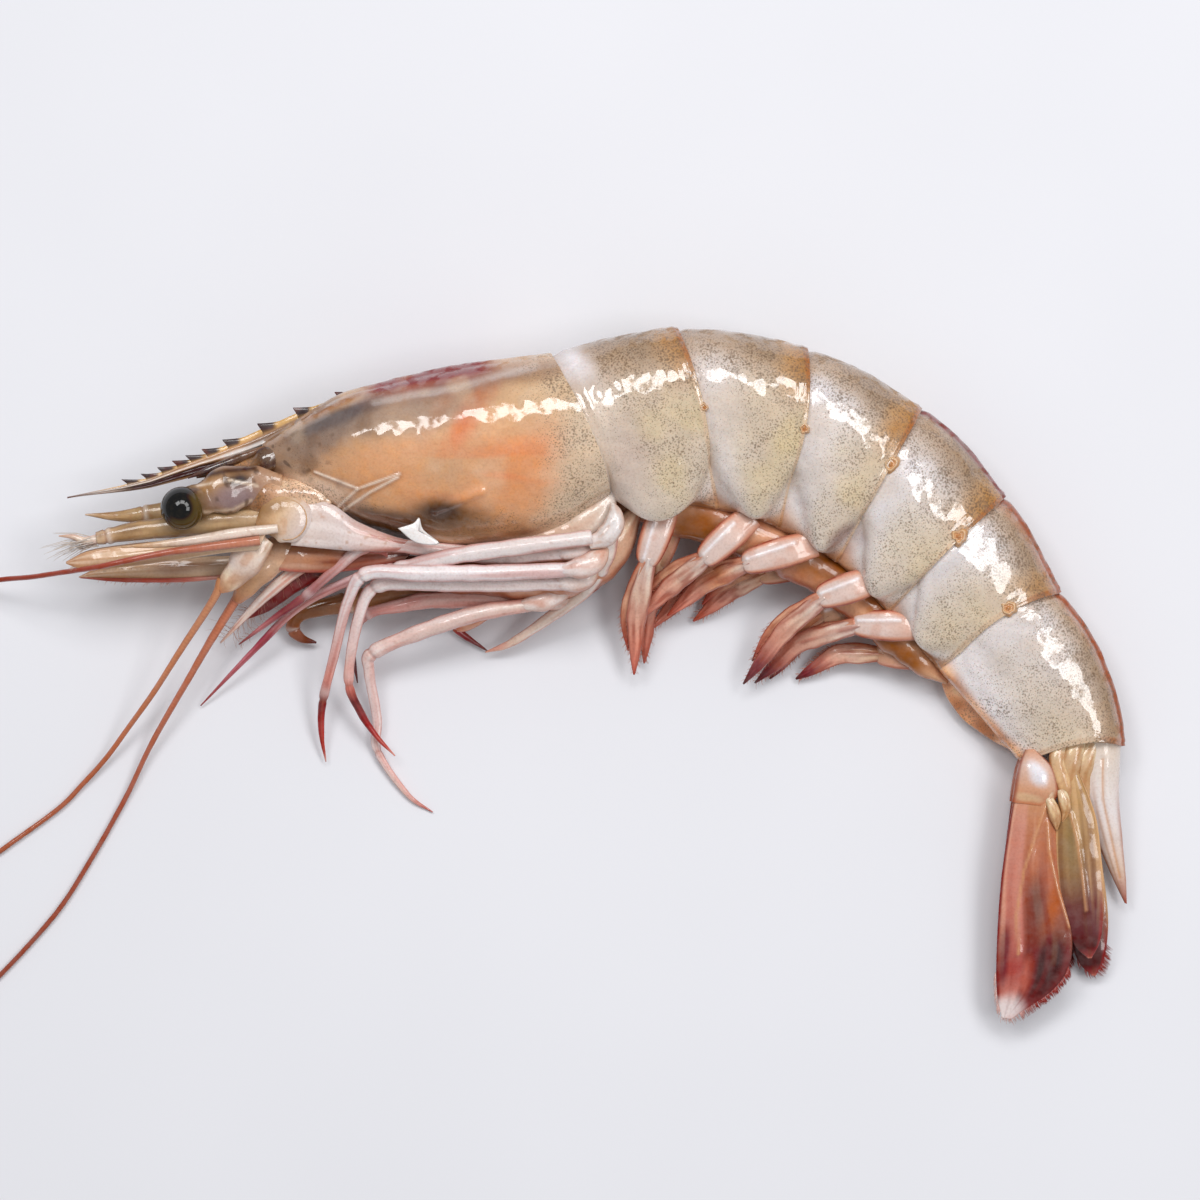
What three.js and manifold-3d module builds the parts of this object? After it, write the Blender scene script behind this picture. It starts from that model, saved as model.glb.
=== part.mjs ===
// A raw white shrimp, whole, lying on its right flank with its left flank up and its head to -X.
//
// Millimetres, +Z up. Plan points are (u, v) on the 150 mm square sheet that the shrimp is laid out on,
// measured from the sheet's lower left corner; heights are above the surface that it lies on.
// The back of the animal faces +Y, its legs face -Y, and its middle plane is level.

import * as THREE from 'three';
import * as BufferGeometryUtils from 'three/addons/utils/BufferGeometryUtils.js';
import Module from 'manifold-3d';

const wasm = await Module();
wasm.setup();

// ---------------------------------------------------------------- driving dimensions

const SHEET_CENTRE = [61.69, 62.68]; // sheet point above the middle of the part's footprint
const SEGMENT_INSET = 0.013; // share of a segment's length left open at each of its ends
const REAR_FLARE = 0.3; // how far the hind edge of each tail plate stands proud of the next one
const FLARE_START = 0.7; // share of a tail plate's length at which that flare begins

const SIDE_POWER = 0.8; // below 1 the body's section is fuller than an ellipse
const BELLY_NARROWING = 0.2; // how much the section narrows from the back to the belly
const SECTION_HALF = 12; // facets on each flank of the body's section
const CARAPACE_STEPS = 18;
const SEGMENT_STEPS = 6;

const EYE_RADIUS = 2.56;
const EYE_LEFT = [23.1, 86.4, 13.0];
const EYE_RIGHT = [23.5, 86.6, 4.1];

const ROSTRUM_THICKNESS = 1.5; // at its root
const ROSTRUM_TIP_SHARE = 0.35; // thickness left at the tip
const TOOTH_HEIGHT = 0.75;
const TOOTH_LENGTH = 1.9;

const LEG_SIZE = { root: 0.8, middle: 0.6, end: 0.42, tip: 0.12 };
const WHIP_SIZE = { root: 0.48, middle: 0.32, tip: 0.13 };
const SWIMMERET_ACROSS = [1.9, 0.95, 1.2, 0.22]; // half widths at root, elbow, blade and tip
const SWIMMERET_THICK = [1.2, 0.75, 0.45, 0.18];

// A cut across the body: where it meets the back, the middle of the flank and the belly, then its
// half width and the height of the middle plane.
const CARAPACE_CUTS = [
  { back: [32.8, 94.6], flank: [33.2, 92.6], belly: [34.0, 90.5], half: 2.6, mid: 8.3 },
  { back: [37.5, 97.5], flank: [37.5, 93.0], belly: [38.1, 88.5], half: 4.8, mid: 8.3 },
  { back: [43.1, 100.6], flank: [42.8, 93.0], belly: [43.1, 85.5], half: 6.8, mid: 8.3 },
  { back: [50.0, 102.5], flank: [49.8, 93.0], belly: [49.8, 83.3], half: 8.1, mid: 8.3 },
  { back: [56.3, 103.9], flank: [56.6, 93.2], belly: [56.9, 81.8], half: 8.8, mid: 8.3 },
  { back: [62.5, 104.9], flank: [64.5, 93.6], belly: [64.0, 82.3], half: 9.0, mid: 8.3 },
  { back: [66.3, 105.5], flank: [70.6, 94.4], belly: [70.4, 83.6], half: 8.9, mid: 8.3 },
  { back: [68.8, 105.9], flank: [74.4, 95.0], belly: [76.3, 87.7], half: 8.7, mid: 8.3 },
];

// The seams between the tail's six plates, from the carapace back to the tail fan, with how far the
// soft belly hangs below the near side's seam. The last cut only steers the sixth plate's curve.
const TAIL_CUTS = [
  { back: [69.0, 105.9], flank: [74.6, 95.0], belly: [76.5, 87.9], half: 8.3, mid: 8.0, hang: 0.6 },
  { back: [84.4, 108.9], flank: [87.5, 99.4], belly: [88.7, 90.4], half: 8.3, mid: 7.6, hang: 4.2 },
  { back: [100.6, 106.5], flank: [100.4, 97.0], belly: [98.0, 88.6], half: 8.0, mid: 7.3, hang: 4.8 },
  { back: [115.0, 99.0], flank: [110.1, 90.3], belly: [107.0, 84.3], half: 7.4, mid: 6.7, hang: 5.2 },
  { back: [125.4, 87.9], flank: [118.1, 81.3], belly: [114.1, 76.6], half: 6.5, mid: 5.8, hang: 4.4 },
  { back: [132.3, 76.0], flank: [125.0, 73.1], belly: [119.3, 67.6], half: 5.5, mid: 4.9, hang: 2.2 },
  { back: [140.3, 56.9], flank: [135.4, 57.3], belly: [129.2, 55.2], half: 3.8, mid: 4.0, hang: 1.6 },
  { back: [139.0, 38.0], flank: [139.0, 42.0], belly: [139.0, 44.0], half: 3.0, mid: 3.6, hang: 1.6 },
];
// Each plate's side flaps: how far the near one hangs below its seams, how far the far one hangs below
// the belly, how much both lean to the rear (1 is even), and how far the back arches above its seams.
const PLATES = [
  { near: 6.0, far: 2.5, lean: 0.75, arch: 0.2 },
  { near: 6.2, far: 2.6, lean: 1.0, arch: 0.2 },
  { near: 6.6, far: 3.0, lean: 1.6, arch: 0.3 },
  { near: 5.8, far: 3.0, lean: 1.6, arch: 0.4 },
  { near: 4.2, far: 2.8, lean: 1.5, arch: 0.4 },
  { near: 1.4, far: 3.6, lean: 1.0, arch: 1.3 },
];
const LIMB_CLEARANCE = 0.3; // between a swimming limb and the body that it comes out of

// The beak's upper line from its tip to the head, and the places of its teeth along it.
const ROSTRUM_TOP = [[8.3, 87.9], [15.0, 89.3], [18.8, 90.4], [22.5, 92.0], [26.3, 93.5], [31.3, 95.8],
  [37.5, 98.6], [43.1, 100.7]];
const ROSTRUM_LOWER = [[44.0, 98.0], [38.0, 94.0], [31.3, 91.8], [25.0, 91.1], [18.8, 89.5], [12.5, 88.4]];
const TEETH_AT = [16.0, 18.4, 20.4, 22.3, 24.0, 26.0, 28.6, 33.0, 37.4, 42.6];

// Routes run from the body outwards: u, v, height. Walking legs l1 to l5 are the near, left ones.
const LEG_ROUTES = {
  l1: [[73.1, 81.0, 11.2], [62.5, 80.5, 11.0], [54.0, 81.3, 10.5], [46.3, 81.8, 10.2], [41.9, 78.8, 8.9],
    [37.9, 75.4, 7.6], [33.6, 72.4, 5.6], [29.5, 69.4, 4.0]],
  l2: [[74.0, 82.8, 13.2], [65.0, 81.6, 13.3], [57.0, 80.5, 12.8], [50.6, 79.1, 10.5], [45.0, 77.9, 8.1],
    [37.5, 74.4, 5.6], [31.3, 68.6, 3.3], [24.4, 61.6, 0.5]],
  l3: [[71.9, 78.8, 12.4], [62.5, 78.4, 12.6], [53.0, 78.3, 12.6], [46.0, 78.3, 11.6], [43.6, 75.0, 10.0],
    [41.6, 68.0, 6.3], [40.0, 62.0, 3.3], [39.8, 58.0, 1.9], [40.3, 54.5, 0.8]],
  l4: [[71.3, 77.1, 10.5], [60.0, 77.0, 10.6], [52.0, 77.2, 10.4], [46.8, 76.6, 9.5], [44.7, 72.5, 8.0],
    [43.4, 65.0, 5.2], [44.8, 60.9, 3.8], [46.8, 57.8, 2.9], [49.1, 55.3, 2.2]],
  l5: [[76.4, 84.0, 12.0], [75.6, 80.5, 10.8], [73.1, 76.3, 7.6], [68.5, 72.7, 4.6], [63.8, 69.6, 2.4],
    [60.5, 68.4, 1.6]],
  r1: [[70.0, 76.3, 3.9], [56.0, 76.0, 3.8], [46.0, 75.2, 3.7], [42.3, 74.5, 3.5], [37.5, 73.4, 2.9],
    [36.2, 71.6, 2.3], [37.2, 70.2, 1.6], [39.1, 69.6, 1.1]],
  r2: [[68.1, 74.8, 6.0], [55.0, 75.0, 6.0], [50.0, 74.3, 5.7], [45.4, 73.0, 4.9], [43.8, 69.5, 3.2],
    [44.3, 64.5, 1.0]],
  r3: [[66.3, 74.4, 7.8], [60.0, 73.4, 7.5], [53.0, 71.2, 6.3], [46.5, 68.4, 4.7], [45.9, 66.0, 3.7],
    [46.8, 60.0, 1.7], [46.9, 55.8, 1.0], [50.6, 50.4, 0.6], [53.8, 48.1, 0.3]],
  r4: [[69.0, 76.3, 2.0], [62.5, 74.3, 1.9], [58.1, 71.8, 1.7], [57.0, 71.2, 1.5], [60.8, 68.5, 0.5]],
  r5: [[75.0, 78.1, 3.0], [73.1, 76.3, 2.0], [70.3, 75.4, 1.1], [65.8, 74.3, 0.45]],
};

// Long feelers. Each lies down on the surface and goes on past the sheet's left edge to its end.
const WHIP_ROUTES = {
  antenna_l: [[27.8, 77.6, 9.8], [26.6, 75.0, 8.8], [22.4, 68.8, 6.2], [18.8, 63.4, 4.2], [15.6, 59.1, 2.6],
    [12.5, 55.0, 1.3], [9.4, 51.6, 0.6], [6.3, 48.5, 0.45], [0.0, 43.9, 0.45], [-5.6, 39.8, 0.4],
    [-11.3, 33.8, 0.35], [-15.6, 26.9, 0.3], [-18.1, 20.0, 0.2]],
  antenna_r: [[29.8, 75.8, 7.0], [26.1, 70.0, 5.2], [23.1, 65.0, 3.8], [19.4, 58.8, 2.2], [17.5, 55.3, 1.4],
    [15.6, 51.3, 0.8], [13.8, 47.9, 0.5], [10.6, 42.3, 0.45], [6.3, 35.6, 0.45], [0.0, 28.5, 0.4],
    [-5.0, 23.8, 0.35], [-10.6, 19.4, 0.3], [-16.9, 16.3, 0.2]],
  feeler: [[32.8, 82.4, 13.6], [25.0, 81.4, 14.1], [21.3, 80.9, 14.0], [16.3, 79.9, 13.6], [12.5, 79.1, 12.8],
    [7.5, 78.4, 9.5], [3.8, 77.9, 7.0], [0.0, 77.6, 4.8], [-3.8, 77.1, 2.8], [-7.5, 76.0, 1.3],
    [-11.9, 73.1, 0.5], [-15.0, 68.1, 0.35], [-16.6, 61.9, 0.3], [-17.5, 55.0, 0.2]],
};

// Swimming limbs under the tail: root, elbow, middle of the blade and tip.
const SWIMMERET_ROUTES = {
  l1: [[83.6, 87.5, 10.6], [81.0, 80.0, 9.2], [79.6, 73.1, 5.8], [79.3, 65.6, 2.8]],
  l2: [[94.0, 85.5, 10.6], [88.3, 80.3, 9.4], [84.0, 76.8, 6.6], [79.0, 72.0, 3.8]],
  l3: [[102.0, 82.0, 10.4], [93.5, 79.6, 9.0], [88.1, 77.0, 5.4], [83.5, 73.0, 3.2]],
  l4: [[109.5, 77.5, 9.6], [102.8, 75.3, 8.6], [98.1, 71.0, 6.0], [93.1, 64.4, 2.8]],
  l5: [[114.8, 71.5, 8.2], [107.3, 71.9, 6.8], [100.0, 69.5, 3.6], [94.6, 64.5, 1.2]],
  r1: [[84.6, 87.5, 5.6], [82.3, 79.8, 4.6], [81.1, 74.4, 3.0], [80.6, 67.0, 1.2]],
  r2: [[95.5, 85.0, 5.6], [89.4, 79.6, 4.6], [86.3, 76.3, 3.0], [81.0, 71.0, 0.9]],
  r3: [[104.4, 80.6, 5.0], [95.6, 78.3, 4.4], [91.3, 76.0, 2.4], [86.8, 72.3, 0.9]],
  r4: [[110.6, 75.2, 4.8], [103.5, 73.1, 4.2], [99.8, 69.4, 2.0], [96.5, 65.0, 0.9]],
  r5: [[117.0, 68.0, 4.0], [110.4, 68.2, 3.4], [105.0, 68.1, 2.2], [99.8, 65.0, 0.9]],
};

// ---------------------------------------------------------------- materials

const FINISH = {
  shell: { color: 0xb9a58c, roughness: 0.3 },
  tail: { color: 0xc4b9a2, roughness: 0.28 },
  limb: { color: 0xe3c6b8, roughness: 0.35 },
  whip: { color: 0xa8604a, roughness: 0.4 },
  fan: { color: 0xa9705f, roughness: 0.35 },
  eye: { color: 0x23231a, roughness: 0.1 },
};

function finish(name) {
  return new THREE.MeshStandardMaterial({ ...FINISH[name], metalness: 0 });
}

// ---------------------------------------------------------------- shared geometry

function onSheet(u, v, height) {
  return new THREE.Vector3(u - SHEET_CENTRE[0], v - SHEET_CENTRE[1], height);
}

function smoothStep(low, high, value) {
  return THREE.MathUtils.smoothstep(value, low, high);
}

// Smooth curve through rows of up to three numbers, evenly timed from row to row.
function throughRows(rows) {
  const points = rows.map((row) => new THREE.Vector3(row[0], row[1] ?? 0, row[2] ?? 0));
  return new THREE.CatmullRomCurve3(points, false, 'catmullrom', 0.5);
}

// Skin over rings of points. A ring runs down one side and up the other, so its points pair off
// across the middle, and the two ends close with strips between the pairs.
function skin(rings) {
  const count = rings[0].length;
  const positions = rings.flat().flatMap((point) => [point.x, point.y, point.z]);
  const faces = [];
  for (let ring = 0; ring + 1 < rings.length; ring += 1) {
    for (let i = 0; i < count; i += 1) {
      const a = ring * count + i;
      const b = ring * count + ((i + 1) % count);
      faces.push(a, b, b + count, a, b + count, a + count);
    }
  }
  const closeEnd = (start, flip) => {
    const add = (i, j, k) => faces.push(start + i, start + (flip ? k : j), start + (flip ? j : k));
    const half = count / 2;
    add(0, count - 1, 1);
    for (let i = 1; i + 1 < half; i += 1) {
      add(i, count - i, count - i - 1);
      add(i, count - i - 1, i + 1);
    }
    add(half - 1, half + 1, half);
  };
  closeEnd(0, false);
  closeEnd((rings.length - 1) * count, true);
  const geometry = new THREE.BufferGeometry();
  geometry.setAttribute('position', new THREE.Float32BufferAttribute(positions, 3));
  geometry.setIndex(faces);
  return facingOut(geometry);
}

function signedVolume(geometry) {
  const position = geometry.getAttribute('position');
  const [a, b, c] = [new THREE.Vector3(), new THREE.Vector3(), new THREE.Vector3()];
  let sum = 0;
  for (let i = 0; i < geometry.index.count; i += 3) {
    a.fromBufferAttribute(position, geometry.index.getX(i));
    b.fromBufferAttribute(position, geometry.index.getX(i + 1));
    c.fromBufferAttribute(position, geometry.index.getX(i + 2));
    sum += a.dot(b.cross(c)) / 6;
  }
  return sum;
}

function facingOut(geometry) {
  if (signedVolume(geometry) < 0) {
    const index = Array.from(geometry.index.array);
    for (let i = 0; i < index.length; i += 3) {
      [index[i + 1], index[i + 2]] = [index[i + 2], index[i + 1]];
    }
    geometry.setIndex(index);
  }
  geometry.computeVertexNormals();
  return geometry;
}

function toSolid(geometry) {
  const bare = geometry.clone();
  bare.deleteAttribute('normal');
  bare.deleteAttribute('uv');
  const merged = BufferGeometryUtils.mergeVertices(bare);
  const mesh = new wasm.Mesh({
    numProp: 3,
    vertProperties: new Float32Array(merged.getAttribute('position').array),
    triVerts: new Uint32Array(merged.index.array),
  });
  return new wasm.Manifold(mesh);
}

function fromSolid(solid) {
  const mesh = solid.getMesh();
  const geometry = new THREE.BufferGeometry();
  geometry.setAttribute('position', new THREE.Float32BufferAttribute(mesh.vertProperties, 3));
  geometry.setIndex(Array.from(mesh.triVerts));
  geometry.computeVertexNormals();
  return geometry;
}

function joined(geometries) {
  return fromSolid(geometries.map(toSolid).reduce((sum, solid) => sum.add(solid)));
}

// Limb with oval sections. Each row of the route is u, v, height; across and thick hold the half
// sizes of the oval, level and upright, and are spread evenly along the route.
function limb(route, across, thick, steps, sides = 8) {
  const path = throughRows(route);
  const acrossCurve = throughRows(across.map((value) => [value]));
  const thickCurve = throughRows(thick.map((value) => [value]));
  const up = new THREE.Vector3(0, 0, 1);
  const rings = [];
  for (let step = 0; step <= steps; step += 1) {
    const t = step / steps;
    const at = path.getPoint(t);
    const along = path.getTangent(t);
    const side = new THREE.Vector3().crossVectors(up, along).normalize();
    const over = new THREE.Vector3().crossVectors(along, side).normalize();
    const halfAcross = Math.max(acrossCurve.getPoint(t).x, 0.08);
    const halfThick = Math.max(thickCurve.getPoint(t).x, 0.08);
    const centre = onSheet(at.x, at.y, at.z);
    const ring = [];
    for (let i = 0; i < sides; i += 1) {
      const angle = (2 * Math.PI * i) / sides;
      const point = centre.clone();
      point.addScaledVector(side, halfAcross * Math.cos(angle));
      point.addScaledVector(over, halfThick * Math.sin(angle));
      ring.push(point);
    }
    rings.push(ring);
  }
  return skin(rings);
}

// ---------------------------------------------------------------- body sections

// The curves that the cuts' points follow along the body.
function curvesThrough(cuts) {
  return {
    back: throughRows(cuts.map((cut) => cut.back)),
    flank: throughRows(cuts.map((cut) => cut.flank)),
    belly: throughRows(cuts.map((cut) => cut.belly)),
    size: throughRows(cuts.map((cut) => [cut.half, cut.mid, cut.hang])),
  };
}

// One ring of the body at t along the curves, from the back down the near side and up the far side.
// drop(share, side, near, hang) moves a point towards the belly and grow widens the ring away from it.
// No point goes below the surface that the body lies on.
function bodyRing(curves, t, drop, grow) {
  const back = curves.back.getPoint(t);
  const flank = curves.flank.getPoint(t);
  const belly = curves.belly.getPoint(t);
  const size = curves.size.getPoint(t);
  const down = new THREE.Vector3().subVectors(belly, back).normalize();
  const ring = [];
  for (let i = 0; i < 2 * SECTION_HALF; i += 1) {
    const angle = (Math.PI * i) / SECTION_HALF;
    const share = (1 - Math.cos(angle)) / 2;
    const side = Math.abs(Math.sin(angle)) ** SIDE_POWER;
    const point = new THREE.Vector3()
      .addScaledVector(back, (1 - share) * (1 - 2 * share))
      .addScaledVector(flank, 4 * share * (1 - share))
      .addScaledVector(belly, share * (2 * share - 1));
    const near = i < SECTION_HALF;
    point.addScaledVector(down, drop(share, side, near, size.z) - grow * (1 - share));
    const reach = (size.x + grow) * side * (1 - BELLY_NARROWING * share ** 2);
    const height = size.y + (near ? reach : -reach);
    ring.push(onSheet(point.x, point.y, Math.max(height, 0)));
  }
  return ring;
}

function carapaceShell() {
  const curves = curvesThrough(CARAPACE_CUTS);
  const rings = [];
  for (let step = 0; step <= CARAPACE_STEPS; step += 1) {
    rings.push(bodyRing(curves, step / CARAPACE_STEPS, () => 0, 0));
  }
  return skin(rings);
}

function tailPlate(number, inset = SEGMENT_INSET) {
  const curves = curvesThrough(TAIL_CUTS);
  const plate = PLATES[number];
  const rings = [];
  for (let step = 0; step <= SEGMENT_STEPS; step += 1) {
    const s = inset + (1 - 2 * inset) * (step / SEGMENT_STEPS);
    const swell = Math.sin(Math.PI * s ** plate.lean) ** 0.7;
    const rise = plate.arch * Math.sin(Math.PI * s);
    const drop = (share, side, near, hang) => {
      const beside = smoothStep(0.3, 0.7, side);
      const flap = near ? plate.near * swell : hang + plate.far * swell;
      const hung = smoothStep(0.45, 0.9, share) * (hang * (1 - beside) + flap * beside);
      return hung - rise * (1 - smoothStep(0, 0.4, share));
    };
    const grow = REAR_FLARE * smoothStep(FLARE_START, 1, s);
    rings.push(bodyRing(curves, (number + s) / (TAIL_CUTS.length - 1), drop, grow));
  }
  return skin(rings);
}

// ---------------------------------------------------------------- head

function heightOnLine(line, u) {
  const next = Math.max(line.findIndex((point) => point[0] >= u), 1);
  const [from, to] = [line[next - 1], line[next]];
  return THREE.MathUtils.mapLinear(u, from[0], to[0], from[1], to[1]);
}

// The toothed beak: a flat blade on the middle plane, thinner towards its tip.
function rostrum() {
  const outline = [ROSTRUM_TOP[0]];
  for (const tooth of TEETH_AT) {
    outline.push([tooth, heightOnLine(ROSTRUM_TOP, tooth) + TOOTH_HEIGHT]);
    outline.push([tooth + TOOTH_LENGTH, heightOnLine(ROSTRUM_TOP, Math.min(tooth + TOOTH_LENGTH, 43))]);
  }
  outline.push(...ROSTRUM_LOWER);
  const shape = new THREE.Shape(outline.map(([u, v]) => new THREE.Vector2(u, v)));
  const blade = new THREE.ExtrudeGeometry(shape, { depth: 1, bevelEnabled: false });
  const position = blade.getAttribute('position');
  const middle = CARAPACE_CUTS[0].mid;
  for (let i = 0; i < position.count; i += 1) {
    const u = position.getX(i);
    const share = THREE.MathUtils.lerp(ROSTRUM_TIP_SHARE, 1, smoothStep(ROSTRUM_TOP[0][0], 32, u));
    const height = middle + (position.getZ(i) - 0.5) * ROSTRUM_THICKNESS * share;
    const place = onSheet(u, position.getY(i), height);
    position.setXYZ(i, place.x, place.y, place.z);
  }
  blade.deleteAttribute('normal');
  blade.deleteAttribute('uv');
  return BufferGeometryUtils.mergeVertices(blade);
}

function carapace() {
  return joined([carapaceShell(), rostrum()]);
}

function headBlock() {
  const route = [[41.3, 84.4, 7.6], [37.5, 86.0, 7.6], [33.8, 87.5, 7.6], [30.0, 87.5, 7.6], [27.8, 87.1, 7.6]];
  return limb(route, [1.0, 1.6, 1.8, 1.7, 1.2], [1.2, 1.5, 1.5, 1.5, 1.1], 6, 10);
}

function eye([u, v, height]) {
  const geometry = new THREE.SphereGeometry(EYE_RADIUS, 14, 10);
  const centre = onSheet(u, v, height);
  geometry.translate(centre.x, centre.y, centre.z);
  return geometry;
}

function eyestalk(heights) {
  const route = [[30.6, 88.5, heights[0]], [28.1, 87.9, heights[1]], [26.2, 87.3, heights[2]]];
  return limb(route, [1.1, 1.2, 1.3], [1.1, 1.2, 1.3], 3);
}

function antennuleLeft() {
  const stem = [[26.9, 85.8, 9.45], [23.1, 85.6, 9.45], [20.6, 85.3, 9.5], [16.3, 83.6, 9.6], [12.8, 82.9, 9.7]];
  const upperFork = [[13.3, 83.3, 9.8], [10.0, 83.0, 9.9], [7.5, 82.5, 9.8]];
  const lowerFork = [[13.3, 82.6, 9.6], [9.0, 81.6, 9.4], [5.4, 80.3, 9.2]];
  return joined([
    limb(stem, [0.9, 0.9, 0.95, 1.0, 0.75], [0.7, 0.7, 0.7, 0.7, 0.6], 7),
    limb(upperFork, [0.25, 0.2, 0.1], [0.22, 0.18, 0.1], 3, 6),
    limb(lowerFork, [0.25, 0.2, 0.1], [0.22, 0.18, 0.1], 3, 6),
  ]);
}

function antennuleRight() {
  const route = [[26.9, 86.8, 7.75], [20.6, 86.3, 7.7], [15.0, 85.5, 7.6], [10.5, 85.8, 7.5]];
  return limb(route, [0.8, 0.8, 0.45, 0.1], [0.7, 0.7, 0.5, 0.1], 6);
}

function scaleLeft() {
  const route = [[30.4, 82.3, 12.9], [25.0, 81.5, 12.6], [18.8, 81.0, 12.0], [13.8, 80.5, 11.6], [8.8, 79.4, 11.2]];
  return limb(route, [1.0, 1.35, 1.35, 1.2, 0.15], [0.4, 0.4, 0.38, 0.34, 0.12], 8);
}

function scaleRight() {
  const route = [[29.0, 79.3, 6.4], [25.0, 79.6, 6.3], [18.8, 79.1, 6.2], [12.5, 78.8, 6.3], [9.4, 77.9, 6.4]];
  return limb(route, [0.9, 1.3, 1.3, 1.0, 0.15], [0.4, 0.4, 0.38, 0.34, 0.12], 8);
}

function antennaBaseLeft() {
  const route = [[42.3, 83.6, 11.0], [38.8, 84.4, 11.5], [34.8, 84.1, 11.4], [31.9, 82.4, 11.2],
    [30.0, 80.5, 10.8], [28.3, 78.3, 10.0]];
  const size = [1.3, 2.1, 2.2, 1.6, 1.2, 0.7];
  return limb(route, size, size, 10);
}

function antennaBaseRight() {
  const route = [[37.5, 81.9, 6.6], [34.4, 81.5, 7.2], [32.8, 80.6, 7.6], [31.3, 78.1, 7.6], [30.1, 76.3, 7.2]];
  const size = [1.4, 1.5, 1.3, 1.0, 0.6];
  return limb(route, size, size, 8);
}

function maxillipedLeft() {
  const route = [[48.5, 80.9, 8.6], [44.0, 81.2, 8.5], [38.8, 79.9, 7.9], [33.1, 75.6, 6.0], [27.1, 69.6, 3.0]];
  return limb(route, [0.5, 0.55, 0.5, 0.45, 0.12], [0.5, 0.5, 0.45, 0.4, 0.12], 9);
}

function maxillipedRight() {
  const route = [[43.1, 79.3, 5.4], [39.0, 78.3, 5.0], [35.6, 76.6, 4.6], [32.8, 74.5, 4.0], [30.0, 72.5, 3.2]];
  return limb(route, [0.5, 0.75, 0.85, 0.8, 0.15], [0.4, 0.4, 0.4, 0.35, 0.12], 7);
}

// ---------------------------------------------------------------- legs, feelers and swimmerets

function breastKeel() {
  const route = [[76.0, 84.0, 8.0], [73.8, 82.0, 8.0], [70.0, 80.3, 8.0], [65.0, 79.3, 8.0], [56.3, 79.3, 8.0],
    [50.0, 80.0, 8.0]];
  return limb(route, [1.6, 2.2, 2.4, 2.2, 1.8, 0.9], [1.2, 1.4, 1.4, 1.4, 1.3, 0.8], 8, 10);
}

function leg(route) {
  const size = [LEG_SIZE.root, LEG_SIZE.root, LEG_SIZE.middle, LEG_SIZE.middle, LEG_SIZE.end, LEG_SIZE.tip];
  return limb(route, size, size, 2 * route.length - 2);
}

function whip(route) {
  const size = [WHIP_SIZE.root, WHIP_SIZE.middle, WHIP_SIZE.middle, WHIP_SIZE.middle, WHIP_SIZE.tip];
  return limb(route, size, size, 2 * route.length, 6);
}

// The tail moved each way by the clearance, for cutting off what comes out of it.
function tailWithClearance() {
  const shifts = [[1, 0, 0], [-1, 0, 0], [0, 1, 0], [0, -1, 0], [0, 0, 1], [0, 0, -1]];
  const copies = PLATES.flatMap((_, number) => shifts.map((shift) => {
    const plate = tailPlate(number, 0);
    plate.translate(...shift.map((way) => way * LIMB_CLEARANCE));
    return toSolid(plate);
  }));
  return copies.reduce((sum, solid) => sum.add(solid));
}

// A swimming limb starts inside the body and is cut off where it comes out.
function swimmeret(route) {
  const whole = toSolid(limb(route, SWIMMERET_ACROSS, SWIMMERET_THICK, 9));
  return fromSolid(whole.subtract(TAIL_SPACE));
}

// ---------------------------------------------------------------- tail fan

function telson() {
  const route = [[137.9, 56.5, 4.3], [138.4, 51.3, 4.0], [139.0, 47.5, 3.6], [139.6, 43.8, 3.1], [140.4, 40.6, 2.6],
    [141.5, 36.8, 2.0]];
  return limb(route, [2.0, 1.6, 1.1, 0.8, 0.5, 0.1], [2.4, 2.0, 1.5, 1.0, 0.6, 0.12], 8, 10);
}

function fanBlade(route, across) {
  return limb(route, across, [0.35, 0.42, 0.42, 0.38, 0.32, 0.15], 8, 10);
}

const FAN = {
  uropod_base_l: () => limb([[132.0, 54.5, 6.0], [130.2, 52.2, 6.0], [129.6, 50.6, 6.0]],
    [1.4, 1.7, 1.6], [0.9, 0.9, 0.7], 4),
  uropod_base_r: () => limb([[132.0, 54.3, 2.4], [130.6, 51.6, 2.2], [130.2, 50.3, 2.1]],
    [1.4, 1.6, 1.5], [0.9, 0.9, 0.7], 4),
  exopod_l: () => fanBlade([[129.6, 49.6, 6.2], [128.8, 43.8, 6.1], [128.8, 37.5, 5.8], [129.5, 31.9, 5.3],
    [128.9, 27.5, 4.9], [127.1, 23.0, 4.5]], [1.9, 2.8, 3.4, 4.4, 3.8, 0.7]),
  endopod_l: () => fanBlade([[134.2, 54.2, 6.2], [134.9, 48.1, 6.0], [135.1, 42.5, 5.5], [135.8, 36.9, 5.0],
    [136.5, 32.5, 4.5], [136.6, 30.2, 4.3]], [0.8, 2.4, 3.0, 2.9, 2.0, 0.5]),
  endopod_r: () => fanBlade([[134.4, 53.8, 2.6], [135.4, 47.5, 2.6], [135.8, 41.3, 2.5], [136.5, 35.0, 2.3],
    [137.3, 30.0, 2.0], [136.8, 26.6, 1.8]], [0.8, 2.4, 3.0, 2.8, 1.8, 0.4]),
  exopod_r: () => fanBlade([[130.3, 49.3, 1.9], [129.5, 43.8, 1.7], [129.5, 37.5, 1.4], [130.3, 31.9, 1.1],
    [129.8, 28.1, 0.8], [128.5, 24.4, 0.6]], [1.9, 2.8, 3.4, 4.2, 3.4, 0.8]),
};

// ---------------------------------------------------------------- assembly

const TAIL_SPACE = tailWithClearance();
const shrimp = new THREE.Group();

function add(name, geometry, material) {
  const mesh = new THREE.Mesh(geometry, finish(material));
  mesh.name = name;
  shrimp.add(mesh);
}

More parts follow.
